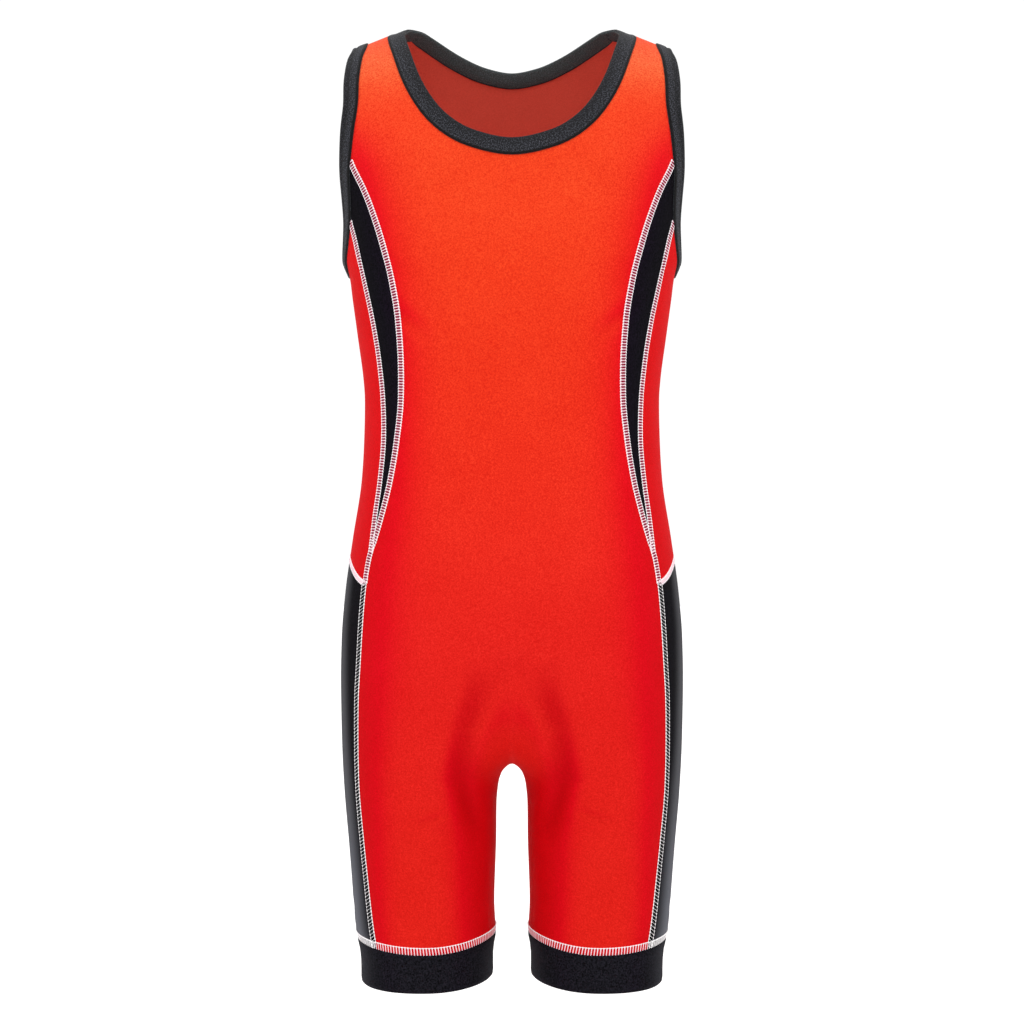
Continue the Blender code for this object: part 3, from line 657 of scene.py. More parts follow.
CREASE_REACH = 0.09  # points farther than this from its middle are left out
RIDGE = 1.4  # how much of the depth comes back as a ridge
END_FADE = 0.8


def relief(points):
    """How far the creases lift points off the form; below zero is a trough."""
    lift = np.zeros(len(points))
    for hand, turn_a, height_a, turn_b, height_b, width, depth in CREASES:
        path = round_leg(np.linspace(height_a, height_b, CREASE_STEPS + 1),
                         np.linspace(turn_a, turn_b, CREASE_STEPS + 1)) * (hand, 1, 1)
        near = np.all(np.abs(points - path.mean(axis=0)) < CREASE_REACH, axis=1)
        gaps = np.linalg.norm(points[near, None, :] - path[None], axis=2)
        place = gaps.argmin(axis=1) / CREASE_STEPS
        q = (gaps.min(axis=1) / width) ** 2
        ends = np.sin(np.pi * place) ** END_FADE
        lift[near] += depth * ends * (RIDGE * q - 1) * np.exp(-q)
    return lift


print("creases:", len(CREASES), "- deepest", DEEPEST * 1000, "mm")

# %% [markdown]
# Materials come next. They are built from nodes, and the same few steps come back in all of
# them: add a node, set it, and fill or link its inputs. Small helpers take those steps, so
# that a material reads as a list of what happens to its colour. A node group keeps an
# effect that several materials share.

# %% Helpers that add, fill and link nodes
def fill(tree, node, inputs):
    """Fill a node's inputs with values, or link them to other nodes' outputs."""
    for name, value in inputs.items():
        if isinstance(value, bpy.types.NodeSocket):
            tree.links.new(value, node.inputs[name])
        else:
            node.inputs[name].default_value = value


def wire(tree, kind, inputs=None, **settings):
    """Add a node, set its settings, and fill or link its inputs."""
    node = tree.nodes.new(kind)
    for name, value in settings.items():
        setattr(node, name, value)
    fill(tree, node, inputs or {})
    return node


def new_group(name, inputs, outputs):
    """A node group and its two end nodes; an input without a value is a vector."""
    group = bpy.data.node_groups.new(name, "ShaderNodeTree")
    for label, value in inputs.items():
        kind = "NodeSocketVector" if value is None else "NodeSocketFloat"
        socket = group.interface.new_socket(label, in_out="INPUT", socket_type=kind)
        if value is not None:
            socket.default_value = value
    for label in outputs:
        group.interface.new_socket(label, in_out="OUTPUT", socket_type="NodeSocketFloat")
    return group, group.nodes.new("NodeGroupInput"), group.nodes.new("NodeGroupOutput")


def maths(tree, operation, a, b=0.0, c=0.0):
    """One Math node's result."""
    return wire(tree, "ShaderNodeMath", {0: a, 1: b, 2: c}, operation=operation).outputs[0]


def ranged(tree, value, start, end, at_start, at_end, soft=True):
    """Map start to at_start and end to at_end, and values between them evenly or softly."""
    return wire(tree, "ShaderNodeMapRange", {0: value, 1: start, 2: end, 3: at_start, 4: at_end},
                interpolation_type="SMOOTHSTEP" if soft else "LINEAR").outputs[0]


print("node helpers:", [helper.__name__ for helper in (fill, wire, new_group, maths, ranged)])

# %% [markdown]
# Knit is rows of small V-shaped loops. At this scale they are hardly seen as loops, but they
# break up the light and give the cloth its fine grain. An image could hold them, but it
# would blur or repeat. The group draws them from the piece's own UV map, which is laid out
# in metres, and returns a height for the bump and a shade for the colour.

# %% Node group: knit loops
def build_knit():
    """Rows of V-shaped loops from a UV map in metres."""
    group, inside, outside = new_group(
        "Knit loops", {"Place": None, "Column width": 0.0006, "Row height": 0.0005},
        ("Height", "Shade"))
    given = inside.outputs
    parts = wire(group, "ShaderNodeSeparateXYZ", {0: given["Place"]}).outputs
    column = maths(group, "DIVIDE", parts[0], given["Column width"])
    row = maths(group, "DIVIDE", parts[1], given["Row height"])
    from_edge = maths(group, "MULTIPLY", maths(group, "PINGPONG", column, 0.5), 2.0)
    slanted = maths(group, "ADD", row, from_edge)
    leg = maths(group, "MULTIPLY", maths(group, "PINGPONG", slanted, 0.5), 2.0)
    rib = maths(group, "POWER", from_edge, 0.5)
    loops = maths(group, "MULTIPLY", rib, maths(group, "MULTIPLY_ADD", leg, 0.6, 0.4))
    fill(group, outside, {"Height": loops, "Shade": maths(group, "MULTIPLY_ADD", loops, 0.16, 0.90)})
    return group


KNIT = build_knit()
print("group:", KNIT.name, "with", len(KNIT.nodes), "nodes")

# %% [markdown]
# Dyed cloth is never one flat colour. Single yarns catch more or less light, and larger
# areas have taken a little more or less dye. Noise at two sizes does both. One group gives
# them as a number near one that multiplies the colour, with the sizes and strengths as
# inputs, so the smooth red and the coarser bindings can share it.

# %% Node group: cloth tone
def build_tone():
    """Fine and broad changes of tone as one factor near 1."""
    group, inside, outside = new_group(
        "Cloth tone", {"Place": None, "Fine size": 0.0012, "Fine strength": 0.1,
                       "Broad size": 0.05, "Broad strength": 0.05}, ("Factor", "Speckle"))
    factors = []
    for label, detail in (("Fine", 2.0), ("Broad", 3.0)):
        scale = maths(group, "DIVIDE", 1.0, inside.outputs[label + " size"])
        noise = wire(group, "ShaderNodeTexNoise", {"Vector": inside.outputs["Place"], "Scale": scale,
                                                   "Detail": detail, "Roughness": 0.6}).outputs["Fac"]
        centred = maths(group, "MULTIPLY_ADD", noise, 2.0, -1.0)
        factors.append(maths(group, "MULTIPLY_ADD", centred, inside.outputs[label + " strength"], 1.0))
        if label == "Fine":
            fill(group, outside, {"Speckle": noise})
    fill(group, outside, {"Factor": maths(group, "MAXIMUM", maths(group, "MULTIPLY", *factors), 0.1)})
    return group


TONE = build_tone()
print("group:", TONE.name, "with", len(TONE.nodes), "nodes")

# %% [markdown]
# Each material below starts the same way, and puts the groups to use with sizes of its own.
# The garment's colours change from top to bottom, and this is painted light and shade:
# lighter where light from above falls on the shoulders, darker lower down. A colour ramp could
# be drawn by hand for each; a table of heights and colours is easier to read and to change.

# %% Parts of a material
def begin(name):
    """A new material, its tree and its Principled shader."""
    material = bpy.data.materials.new(name)
    material.use_nodes = True
    return material, material.node_tree, material.node_tree.nodes["Principled BSDF"]


def place_group(tree, group, **inputs):
    """Put a node group into a material; fine_size fills its input "Fine size"."""
    inputs = {name.replace("_", " ").capitalize(): value for name, value in inputs.items()}
    return wire(tree, "ShaderNodeGroup", inputs, node_tree=group).outputs


def scaled(tree, colour, factor):
    """A colour times a factor."""
    return wire(tree, "ShaderNodeVectorMath", {0: colour, "Scale": factor},
                operation="SCALE").outputs[0]


def bumped(tree, height, strength, distance):
    """Normals that are tilted as a height says."""
    return wire(tree, "ShaderNodeBump", {"Height": height, "Strength": strength,
                                         "Distance": distance}).outputs["Normal"]


def by_height(tree, height, colours):
    """A colour that runs smoothly through a table of heights and colours."""
    share = ranged(tree, height, LOWEST, 0.0, 0.0, 1.0, soft=False)
    ramp = wire(tree, "ShaderNodeValToRGB", {0: share})
    ramp.color_ramp.interpolation = "B_SPLINE"
    stops = ramp.color_ramp.elements
    while len(stops) < len(colours):
        stops.new(0.5)
    for stop, (at, colour) in zip(stops, sorted(((z - LOWEST) / -LOWEST, c) for z, c in colours)):
        stop.position = at
        stop.color = (*colour, 1)
    return ramp.outputs["Color"]


def even_colour(colour):
    """A colour table that is the same at every height."""
    return (0.0, colour), (LOWEST, colour)


print("ramps run from", LOWEST, "to 0 m")

# %% [markdown]
# The smooth cloth is nylon and elastane, a tight knit with little gloss. Its red is painted
# with light and shade: lighter and more orange on the shoulders, where light from above
# falls, and deeper, a blue-red, on the legs. Where the cloth turns to the side its orange
# fades and it darkens, a painted shade that is lifted on the shoulders and at the fork, a
# painted light. A trough is painted darker too. Both are read from the cloth itself, from its
# own normal and from the depth that each panel keeps, so they stay in place when the garment is seen
# from somewhere else. Only the black cloth's gleam comes from Layer Weight: it pales where light grazes
# it, a painted sheen added to its colour.

# %% Smooth stretch cloth
FORK = (0.0, 0.0, -0.528)
FORK_REACH = (0.010, 0.038)  # within these distances of the fork the painted side shade is lifted, a painted light
SHOULDER_REACH = (-0.110, -0.040)  # and over these heights
GLEAM_HEIGHTS = (-0.520, -0.670)  # between these heights, down the leg, the painted sheen reaches
GLEAM_STARTS = (0.57, 0.33)  # farther in: it starts where light grazes the cloth this much
GLEAM_FULL = 0.82  # and is full where it grazes it this much
SIDE_SHADE_REACH = (0.34, 0.19, 0.38)  # painted side shade: red, green and blue fade over so much of a turn sideways
TROUGH_SHADE = (0.18, 0.70, 0.45)  # what the painted shade of the deepest trough takes from each of them


def painted_light_at_shoulders_and_fork(tree, parts):
    """Near 1 on the shoulders and at the fork, where the painted side shade is lifted: painted light.
    """
    without_depth = wire(tree, "ShaderNodeCombineXYZ", {0: parts[0], 2: parts[2]}).outputs[0]
    from_fork = wire(tree, "ShaderNodeVectorMath", {0: without_depth, 1: FORK},
                     operation="DISTANCE").outputs["Value"]
    return maths(tree, "MAXIMUM", ranged(tree, from_fork, *FORK_REACH, 0.80, 0.0),
                 ranged(tree, parts[2], *SHOULDER_REACH, 0.0, 0.95))


def cloth_material(name, reds, fine, broad, bump, roughness, grain=1.0,
                   painted_side_shade=(1.0, 1.0, 1.0), sheen=even_colour((0.0, 0.0, 0.0))):
    """Tight stretch knit whose colour runs through a table by height.

    Where it faces sideways its red, green and blue are multiplied by painted_side_shade, a
    painted shade. The table by height holds painted light and shade. The table of sheen is a painted
    sheen, added to the colour where light grazes the cloth, and the grain is that power in green and
    blue. Fine and broad are sizes and strengths of the tone.
    """
    material, tree, shader = begin(name)
    place = wire(tree, "ShaderNodeTexCoord").outputs
    parts = wire(tree, "ShaderNodeSeparateXYZ", {0: place["Object"]}).outputs
    colour_with_painted_light = by_height(tree, parts[2], reds)
    tone = place_group(tree, TONE, place=place["Object"], fine_size=fine[0], fine_strength=fine[1],
                       broad_size=broad[0], broad_strength=broad[1])
    knit = place_group(tree, KNIT, place=place["UV"], column_width=0.0008, row_height=0.0006)
    trough = wire(tree, "ShaderNodeAttribute", attribute_name="trough").outputs["Fac"]
    factor = maths(tree, "MULTIPLY", tone["Factor"], knit["Shade"])
    # painted light: a mask that lifts the painted side shade on the shoulders and at the fork
    flat = painted_light_at_shoulders_and_fork(tree, parts)
    ahead = wire(tree, "ShaderNodeSeparateXYZ", {0: place["Normal"]}).outputs[1]
    sideways = maths(tree, "SUBTRACT", 1.0, maths(tree, "ABSOLUTE", ahead))
    tone_and_painted_shade = []
    # painted shade: each channel darkens where the cloth turns sideways and in the troughs, lifted as
    # painted light on the shoulders and at the fork
    for away, reach, power, shade in zip(painted_side_shade, SIDE_SHADE_REACH, (1.0, grain, grain), TROUGH_SHADE):
        turned = ranged(tree, sideways, 0.0, reach, 1.0, away)
        turned = wire(tree, "ShaderNodeMix", {0: flat, 2: turned, 3: 1.0}).outputs[0]
        grained = maths(tree, "MULTIPLY", maths(tree, "POWER", factor, power), turned)
        tone_and_painted_shade.append(maths(tree, "MULTIPLY", grained, maths(tree, "MULTIPLY_ADD", trough, -shade, 1.0)))
    # tone and grain together with the painted side shade and the painted trough shade
    dyed = wire(tree, "ShaderNodeCombineXYZ", dict(enumerate(tone_and_painted_shade))).outputs[0]
    colour = wire(tree, "ShaderNodeVectorMath", {0: colour_with_painted_light, 1: dyed}, operation="MULTIPLY").outputs[0]
    # painted sheen: a pale colour added to the colour where light grazes the cloth
    grazed = wire(tree, "ShaderNodeLayerWeight", {"Blend": 0.5}).outputs["Facing"]
    begins = ranged(tree, parts[2], *GLEAM_HEIGHTS, *GLEAM_STARTS, soft=False)
    gleam = scaled(tree, by_height(tree, parts[2], sheen),
                   ranged(tree, grazed, begins, GLEAM_FULL, 0.0, 1.0))
    colour = wire(tree, "ShaderNodeVectorMath", {0: colour, 1: gleam}, operation="ADD").outputs[0]
    fill(tree, shader, {
        "Base Color": colour,
        "Roughness": maths(tree, "MULTIPLY_ADD", tone["Speckle"], 0.12, roughness - 0.06),
        "Normal": bumped(tree, knit["Height"], bump, 0.0002),
        "Specular IOR Level": 0.05})
    return material


print("a trough takes at most", TROUGH_SHADE, "of the red, green and blue")

# %% [markdown]
# Five cloths come from this recipe. The red has the longest table of heights, which holds
# painted light and shade. Both insides are plainer, with a weaker bump and no gleam. The black has
# a painted sheen that is strongest low on the leg, and the knit of the hem bands has a stronger grain
# and hardly any painted sheen.

# %% Five stretch cloths
RED_KNIT = cloth_material(
    "red_stretch_knit",
    # height, colour; painted light makes the top lighter and more orange, painted shade darkens the
    # lower belly and the legs
    ((0.000, (0.90, 0.072, 0.032)), (-0.030, (0.94, 0.165, 0.054)), (-0.050, (0.96, 0.098, 0.026)),
     (-0.072, (0.98, 0.070, 0.018)), (-0.120, (0.97, 0.068, 0.016)), (-0.210, (0.94, 0.047, 0.012)),
     (-0.340, (0.92, 0.032, 0.013)), (-0.460, (0.82, 0.014, 0.012)), (-0.575, (0.84, 0.017, 0.010)),
     (-0.7023, (0.84, 0.017, 0.010))),
    fine=(0.0011, 0.26), broad=(0.045, 0.05), bump=0.35, roughness=0.70, grain=5.0,
    painted_side_shade=(0.85, 0.10, 0.53))
# painted shade: the inside is darker towards the hem, deeper in the hollow
RED_INSIDE = cloth_material(
    "red_knit_inside", ((0.000, (0.92, 0.110, 0.070)), (-0.7023, (0.50, 0.030, 0.026))),
    fine=(0.0011, 0.14), broad=(0.040, 0.05), bump=0.20, roughness=0.80, grain=2.0)
BLACK_KNIT = cloth_material(
    "black_stretch_knit", even_colour((0.0100, 0.0092, 0.0130)),
    fine=(0.0012, 2.20), broad=(0.050, 0.10), bump=0.35, roughness=0.80, painted_side_shade=(0.50, 0.44, 0.48),
    # painted sheen, a pale colour by height, strongest low on the leg
    sheen=((0.000, (0.030, 0.028, 0.032)), (-0.440, (0.070, 0.070, 0.075)),
           (-0.560, (0.085, 0.085, 0.092)), (-0.620, (0.120, 0.124, 0.142)),
           (-0.7023, (0.175, 0.180, 0.205))))
HEM_KNIT = cloth_material(
    "black_hem_knit", even_colour((0.0105, 0.0098, 0.0140)),
    fine=(0.0012, 2.60), broad=(0.050, 0.10), bump=0.35, roughness=0.80, painted_side_shade=(0.80, 0.80, 0.80),
    sheen=even_colour((0.016, 0.016, 0.019)))
BLACK_INSIDE = cloth_material(
    "black_knit_inside", even_colour((0.010, 0.010, 0.011)),
    fine=(0.0014, 0.20), broad=(0.050, 0.08), bump=0.20, roughness=0.80)
print("materials:", [knit.name for knit in (RED_KNIT, RED_INSIDE, BLACK_KNIT, HEM_KNIT,
                                            BLACK_INSIDE)])

# %% [markdown]
# The bindings are a heavier, brushed knit of charcoal yarn with paler fibres in it. The
# pale flecks lie in fine rows that slant across the strip. They are drawn by stretching a
# noise along the slant and keeping only its peaks.

# %% Node group: slanting flecks
def build_flecks():
    """Small pale flecks in slanting rows, from a UV map in metres."""
    group, inside, outside = new_group(
        "Slanting flecks", {"Place": None, "Length": 0.0016, "Width": 0.0007, "Slant": 0.6,
                            "Cover": 0.5}, ("Mask",))
    given = inside.outputs
    turned = wire(group, "ShaderNodeVectorRotate", {"Vector": given["Place"], "Angle": given["Slant"]},
                  rotation_type="Z_AXIS")
    parts = wire(group, "ShaderNodeSeparateXYZ", {0: turned.outputs[0]}).outputs
    drawn = wire(group, "ShaderNodeCombineXYZ", {0: maths(group, "DIVIDE", parts[0], given["Length"]),
                                                 1: maths(group, "DIVIDE", parts[1], given["Width"])})
    noise = wire(group, "ShaderNodeTexNoise", {"Vector": drawn.outputs[0], "Scale": 1.0, "Detail": 1.0})
    low = maths(group, "SUBTRACT", 0.72, maths(group, "MULTIPLY", given["Cover"], 0.4))
    high = maths(group, "ADD", low, 0.14)
    fill(group, outside, {"Mask": ranged(group, noise.outputs["Fac"], low, high, 0.0, 1.0)})
    return group


FLECKS = build_flecks()
print("group:", FLECKS.name, "with", len(FLECKS.nodes), "nodes")

# %% [markdown]
# The folded strip is seen first, so it carries more than flecks. The seam that holds it
# sinks a dark line into its edge, and the needles of the binder press finer lines along it:
# these lines are painted shade, the shade of grooves. The pale fibres are rubbed thinner toward the
# fold. The lines could be grooves in the mesh, but at a tenth of the strip's width painted shade alone
# does it. They are placed by the UV map, which counts metres across the strip.

# %% Brushed binding knit
def mixed(tree, factor, one, other):
    """A mix of two colours."""
    return wire(tree, "ShaderNodeMix", {"Factor": factor, 6: (*one, 1), 7: (*other, 1)},
                data_type="RGBA").outputs[2]


def binding_material(name, dark, pale, cover, roughness, lines):
    """Charcoal knit with pale slanting flecks and darker lines of painted shade at some places across.
    """
    material, tree, shader = begin(name)
    place = wire(tree, "ShaderNodeTexCoord").outputs
    tone = place_group(tree, TONE, place=place["Object"], fine_size=0.0015, fine_strength=0.25,
                       broad_size=0.030, broad_strength=0.08)
    across = wire(tree, "ShaderNodeSeparateXYZ", {0: place["UV"]}).outputs[0]
    rubbed = ranged(tree, across, 0.0045, 0.0120, cover, cover * 0.68, soft=False)
    mask = place_group(tree, FLECKS, place=place["UV"], length=0.0012, width=0.0006,
                       cover=rubbed)["Mask"]
    shade = 1.0
    for at, reach, darkness in lines:
        away = maths(tree, "ABSOLUTE", maths(tree, "SUBTRACT", across, at))
        line = ranged(tree, away, reach * 0.5, reach * 1.5, darkness, 1.0, soft=False)
        shade = maths(tree, "MULTIPLY", shade, line)
    knit = place_group(tree, KNIT, place=place["UV"], column_width=0.0010, row_height=0.0009)
    worn = maths(tree, "MULTIPLY", maths(tree, "MULTIPLY", tone["Factor"], shade), knit["Shade"])
    height = maths(tree, "MULTIPLY_ADD", mask, 0.4, knit["Height"])
    fill(tree, shader, {
        "Base Color": scaled(tree, mixed(tree, mask, dark, pale), worn),
        "Roughness": maths(tree, "MULTIPLY_ADD", mask, -0.08, roughness),
        "Normal": bumped(tree, height, 0.5, 0.0003),
        "Sheen Weight": 0.04, "Sheen Roughness": 0.5, "Specular IOR Level": 0.25})
    return material


BINDING_KNIT = binding_material(
    "charcoal_binding", (0.008, 0.008, 0.010), (0.070, 0.072, 0.090), cover=0.62, roughness=0.80,
    # place across, half width, darkness of the painted shade
    lines=((0.0014, 0.0011, 0.06), (0.0046, 0.0003, 0.60), (0.0138, 0.0008, 0.45)))
ARMHOLE_KNIT = binding_material(
    "charcoal_armhole_binding", (0.009, 0.009, 0.011), (0.068, 0.070, 0.088), cover=0.62,
    roughness=0.80, lines=((0.0014, 0.0011, 0.06), (0.0086, 0.0005, 0.30)))
BINDING_INSIDE = binding_material(
    "charcoal_binding_inside", (0.046, 0.055, 0.056), (0.090, 0.108, 0.112), cover=0.90,
    roughness=0.75, lines=((0.0272, 0.0006, 0.20),))
print("materials:", BINDING_KNIT.name, ARMHOLE_KNIT.name, BINDING_INSIDE.name)

# %% [markdown]
# The sewing thread is thick, soft and nearly white. It takes a pink cast from the red cloth
# that it lies on, strongest in the crossing threads. It has a faint Emission, a painted glow
# that makes it brighter than the lamps alone would. Its UV map runs across and along the seam, and a
# fine slanting wave gives it its twist.
# Between its loops lies a sheet painted in the dark red of the seam's shade, a painted shade,
# which is a material of its own.

# %% Sewing thread
def thread_material(name, bright, tinted):
    """Soft twisted thread, tinted away from its outer rails."""
    material, tree, shader = begin(name)
    place = wire(tree, "ShaderNodeTexCoord").outputs
    across = wire(tree, "ShaderNodeSeparateXYZ", {0: place["UV"]}).outputs[0]
    from_middle = maths(tree, "ABSOLUTE", maths(tree, "SUBTRACT", across, 0.5))
    dyed = mixed(tree, ranged(tree, from_middle, 0.15, 0.42, 0.0, 1.0), tinted, bright)
    tone = place_group(tree, TONE, place=place["Object"], fine_size=0.0020, fine_strength=0.10,
                       broad_size=0.020, broad_strength=0.06)
    twist = wire(tree, "ShaderNodeTexWave", {"Vector": place["UV"], "Scale": 3.0},
                 bands_direction="DIAGONAL").outputs["Fac"]
    fill(tree, shader, {
        "Base Color": scaled(tree, dyed, tone["Factor"]),
        "Roughness": maths(tree, "MULTIPLY_ADD", tone["Speckle"], 0.2, 0.6),
        "Normal": bumped(tree, twist, 0.3, 0.0001),
        # painted glow: a faint Emission that makes the thread brighter though it is no lamp
        "Specular IOR Level": 0.2, "Emission Color": dyed, "Emission Strength": 0.12})
    return material


WHITE_THREAD = thread_material("white_thread", (1.0, 0.97, 0.98), (0.92, 0.88, 0.89))
PINK_THREAD = thread_material("pink_white_thread", (1.0, 0.93, 0.96), (0.95, 0.70, 0.76))
# painted shade: a dark red sheet for the shade in the seam between the loops
PAINTED_SEAM_SHADE = cloth_material(
    "painted_seam_shade", even_colour((0.320, 0.014, 0.045)),
    fine=(0.0012, 0.10), broad=(0.050, 0.05), bump=0.20, roughness=0.80)
print("materials:", WHITE_THREAD.name, PINK_THREAD.name, PAINTED_SEAM_SHADE.name)

# %% [markdown]
# Now the cloth itself. Every piece starts as a flat grid, as cloth does, and its points are
# laid in their places row by row. Its UV map keeps real lengths in metres, so the knit is as
# fine on the narrow insert as on the broad back. These helpers make such a grid and run
# modifiers and edit mode's operators on it.

# %% A grid of cloth
def read_points(piece):
    """A mesh's points as an array."""
    flat = np.zeros(len(piece.data.vertices) * 3)
    piece.data.vertices.foreach_get("co", flat)
    return flat.reshape(-1, 3)


def write_points(piece, points):
    """Put a mesh's points in their places."""
    piece.data.vertices.foreach_set("co", points.ravel())
    piece.data.update()


def grid_of(name, places, along):
    """A grid primitive laid at places[row, column], with a UV map of real lengths."""
    rows, columns = places.shape[:2]
    steps = np.linalg.norm(np.diff(places, axis=1), axis=2)
    across = np.concatenate((np.zeros((rows, 1)), np.cumsum(steps, axis=1)), axis=1)
    bpy.ops.object.select_all(action="DESELECT")
    bpy.ops.mesh.primitive_grid_add(size=1, x_subdivisions=columns - 1, y_subdivisions=rows - 1)
    piece = bpy.context.object
    piece.name = piece.data.name = name
    flat = read_points(piece)
    column = np.rint((flat[:, 0] + 0.5) * (columns - 1)).astype(int)
    row = np.rint((0.5 - flat[:, 1]) * (rows - 1)).astype(int)
    write_points(piece, places[row, column])
    corners = np.zeros(len(piece.data.loops), dtype=np.int32)
    piece.data.loops.foreach_get("vertex_index", corners)
    uv = np.stack([across[row, column], along[row]], axis=1)[corners]
    piece.data.uv_layers.active.data.foreach_set("uv", uv.ravel())
    return piece, column


def apply(piece, kind, **settings):
    """Add a modifier with its settings and apply it."""
    modifier = piece.modifiers.new(kind.title(), kind)
    for name, value in settings.items():
        setattr(modifier, name, value)
    bpy.context.view_layer.objects.active = piece
    bpy.ops.object.modifier_apply(modifier=modifier.name)


def in_edit_mode(piece, *steps):
    """Run mesh operators on all of a piece in edit mode."""
    bpy.ops.object.select_all(action="DESELECT")
    bpy.context.view_layer.objects.active = piece
    piece.select_set(True)
    bpy.ops.object.mode_set(mode="EDIT")
    bpy.ops.mesh.select_all(action="SELECT")
    for step in steps:
        step()
    bpy.ops.object.mode_set(mode="OBJECT")


print("grid helpers:", [helper.__name__ for helper in (grid_of, apply, in_edit_mode)])

# %% [markdown]
# The edges of a panel that are sewn are drawn back by half the seam's gap and sunk a
# little, as a flat seam pulls them in. The front and the back are laid as one half each and
# mirrored, since a maker folds the cloth and cuts both halves at once. The Solidify
# modifier then gives the cloth its thickness, and its inner wall gets a second, duller
# material.

# %% Lay the panels
CLOTH = 0.0008  # its thickness
SEAM_SINK = 0.0002
EDGES = {"left": (np.s_[:, 0], np.s_[:, 1]), "right": (np.s_[:, -1], np.s_[:, -2]),
         "top": (np.s_[0], np.s_[1]), "bottom": (np.s_[-1], np.s_[-2])}


def drawn_in(grid, sides=("left", "right", "top", "bottom")):
    """Draw a grid's sewn sides back from their seams and sink them a little."""
    result = grid.copy()
    normals = outward(grid)
    for side in sides:
        line, inner = EDGES[side]
        away = unit(np.cross(normals[line], unit(np.gradient(grid[line], axis=0))))
        toward = np.sum(away * (grid[inner] - grid[line]), axis=1, keepdims=True)
        result[line] += away * np.sign(toward) * SEAM_GAP / 2 - normals[line] * SEAM_SINK
    return result


def cloth(name, grid, outer, inner, mirrored=False):
    """One panel: a grid laid on the form, creased, thickened and smoothed."""
    piece, _ = grid_of(name, grid, -lengths(grid[:, grid.shape[1] // 2]))
    if mirrored:
        apply(piece, "MIRROR", merge_threshold=0.00001)
    first = piece.data.polygons[len(piece.data.polygons) // 2]
    if np.dot(first.normal, outward(np.array([first.center]))[0]) < 0:
        in_edit_mode(piece, bpy.ops.mesh.flip_normals)
    points = read_points(piece)
    lift = relief(points)
    write_points(piece, points + outward(points) * lift[:, None])
    troughs = piece.data.attributes.new("trough", "FLOAT", "POINT")
    troughs.data.foreach_set("value", np.clip(-lift / DEEPEST, 0.0, 1.0).astype(np.float32))
    piece.data.materials.append(outer)
    piece.data.materials.append(inner)
    apply(piece, "SOLIDIFY", thickness=CLOTH, offset=-1, material_offset=1)
    bpy.ops.object.shade_smooth_by_angle(angle=math.radians(50))
    return piece


HANDS = (("left", np.array((1, 1, 1))), ("right", np.array((-1, 1, 1))))
PIECES = {}
for side, grid, neck_rows, rows in (("front", FRONT, NECK_FRONT_ROWS, CENTRE_FRONT_ROWS),
                                    ("back", BACK, NECK_BACK_ROWS, CENTRE_BACK_ROWS)):
    # above the crotch the half's middle line stays in the middle
    panel = drawn_in(grid, ("left", "right", "bottom"))
    middle = slice(neck_rows, neck_rows + rows + SEAT_ROWS + 1)
    panel[middle, 0] = grid[middle, 0] * (0, 1, 1)
    PIECES[side + "_panel"] = cloth("red_" + side, panel, RED_KNIT, RED_INSIDE, mirrored=True)
for hand, mirror in HANDS:
    for node, name, grid, outer, inner in (
            ("side_insert_", "black_insert_", INSERT, BLACK_KNIT, BLACK_INSIDE),
            ("side_panel_", "red_side_", SIDE, RED_KNIT, RED_INSIDE),
            ("leg_panel_", "black_leg_", LEG, BLACK_KNIT, BLACK_INSIDE)):
        PIECES[node + hand] = cloth(name + hand, drawn_in(grid) * mirror, outer, inner)
for node, piece in PIECES.items():
    print(node, "->", piece.name, len(piece.data.polygons), "faces")

# %% [markdown]
# A binding is a strip of knit folded over the raw edge, so its section is a flat loop with a
# round fold at the free edge. A curve with a bevel object could carry that section round
# the neck, but it would turn on its way. A grid whose rows are section outlines stays flat
# on the form: it is laid round the ring and its ends are merged. The hem bands are made the
# same way, from an outline given by height.

# %% Folded bands
NECK_OUTLINE = (
    # share of the width from the seam to the free edge, height over the form
    (-0.030, 0.0001), (-0.025, 0.0007), (0.040, 0.0011), (0.200, 0.0013), (0.450, 0.0014),
    (0.700, 0.0013), (0.880, 0.0010), (0.970, 0.0004), (1.000, -0.0006), (0.970, -0.0015),
    (0.850, -0.0021), (0.450, -0.0023), (0.060, -0.0021), (0.000, -0.0014),
)
ARMHOLE_OUTLINE = (
    # the same, with a shallow groove two thirds of the way out
    (-0.030, 0.0001), (-0.025, 0.0007), (0.040, 0.0011), (0.250, 0.0013), (0.520, 0.0013),
    (0.610, 0.0010), (0.660, 0.0007), (0.710, 0.0010), (0.800, 0.0013), (0.900, 0.0010),
    (0.970, 0.0004), (1.000, -0.0006), (0.970, -0.0015), (0.850, -0.0021), (0.450, -0.0023),
    (0.060, -0.0021), (0.000, -0.0014),
)
HEM_OUTLINE = (
    # share of the height from the seam to the lowest edge, height over the form
    (-0.010, 0.0000), (0.014, 0.0006), (0.100, 0.0010), (0.270, 0.0011), (0.510, 0.0012),
    (0.746, 0.0011), (0.898, 0.0009), (0.973, 0.0004), (1.000, -0.0005), (0.973, -0.0014),
    (0.864, -0.0019), (0.510, -0.0020), (0.068, -0.0019), (0.000, -0.0012),
)


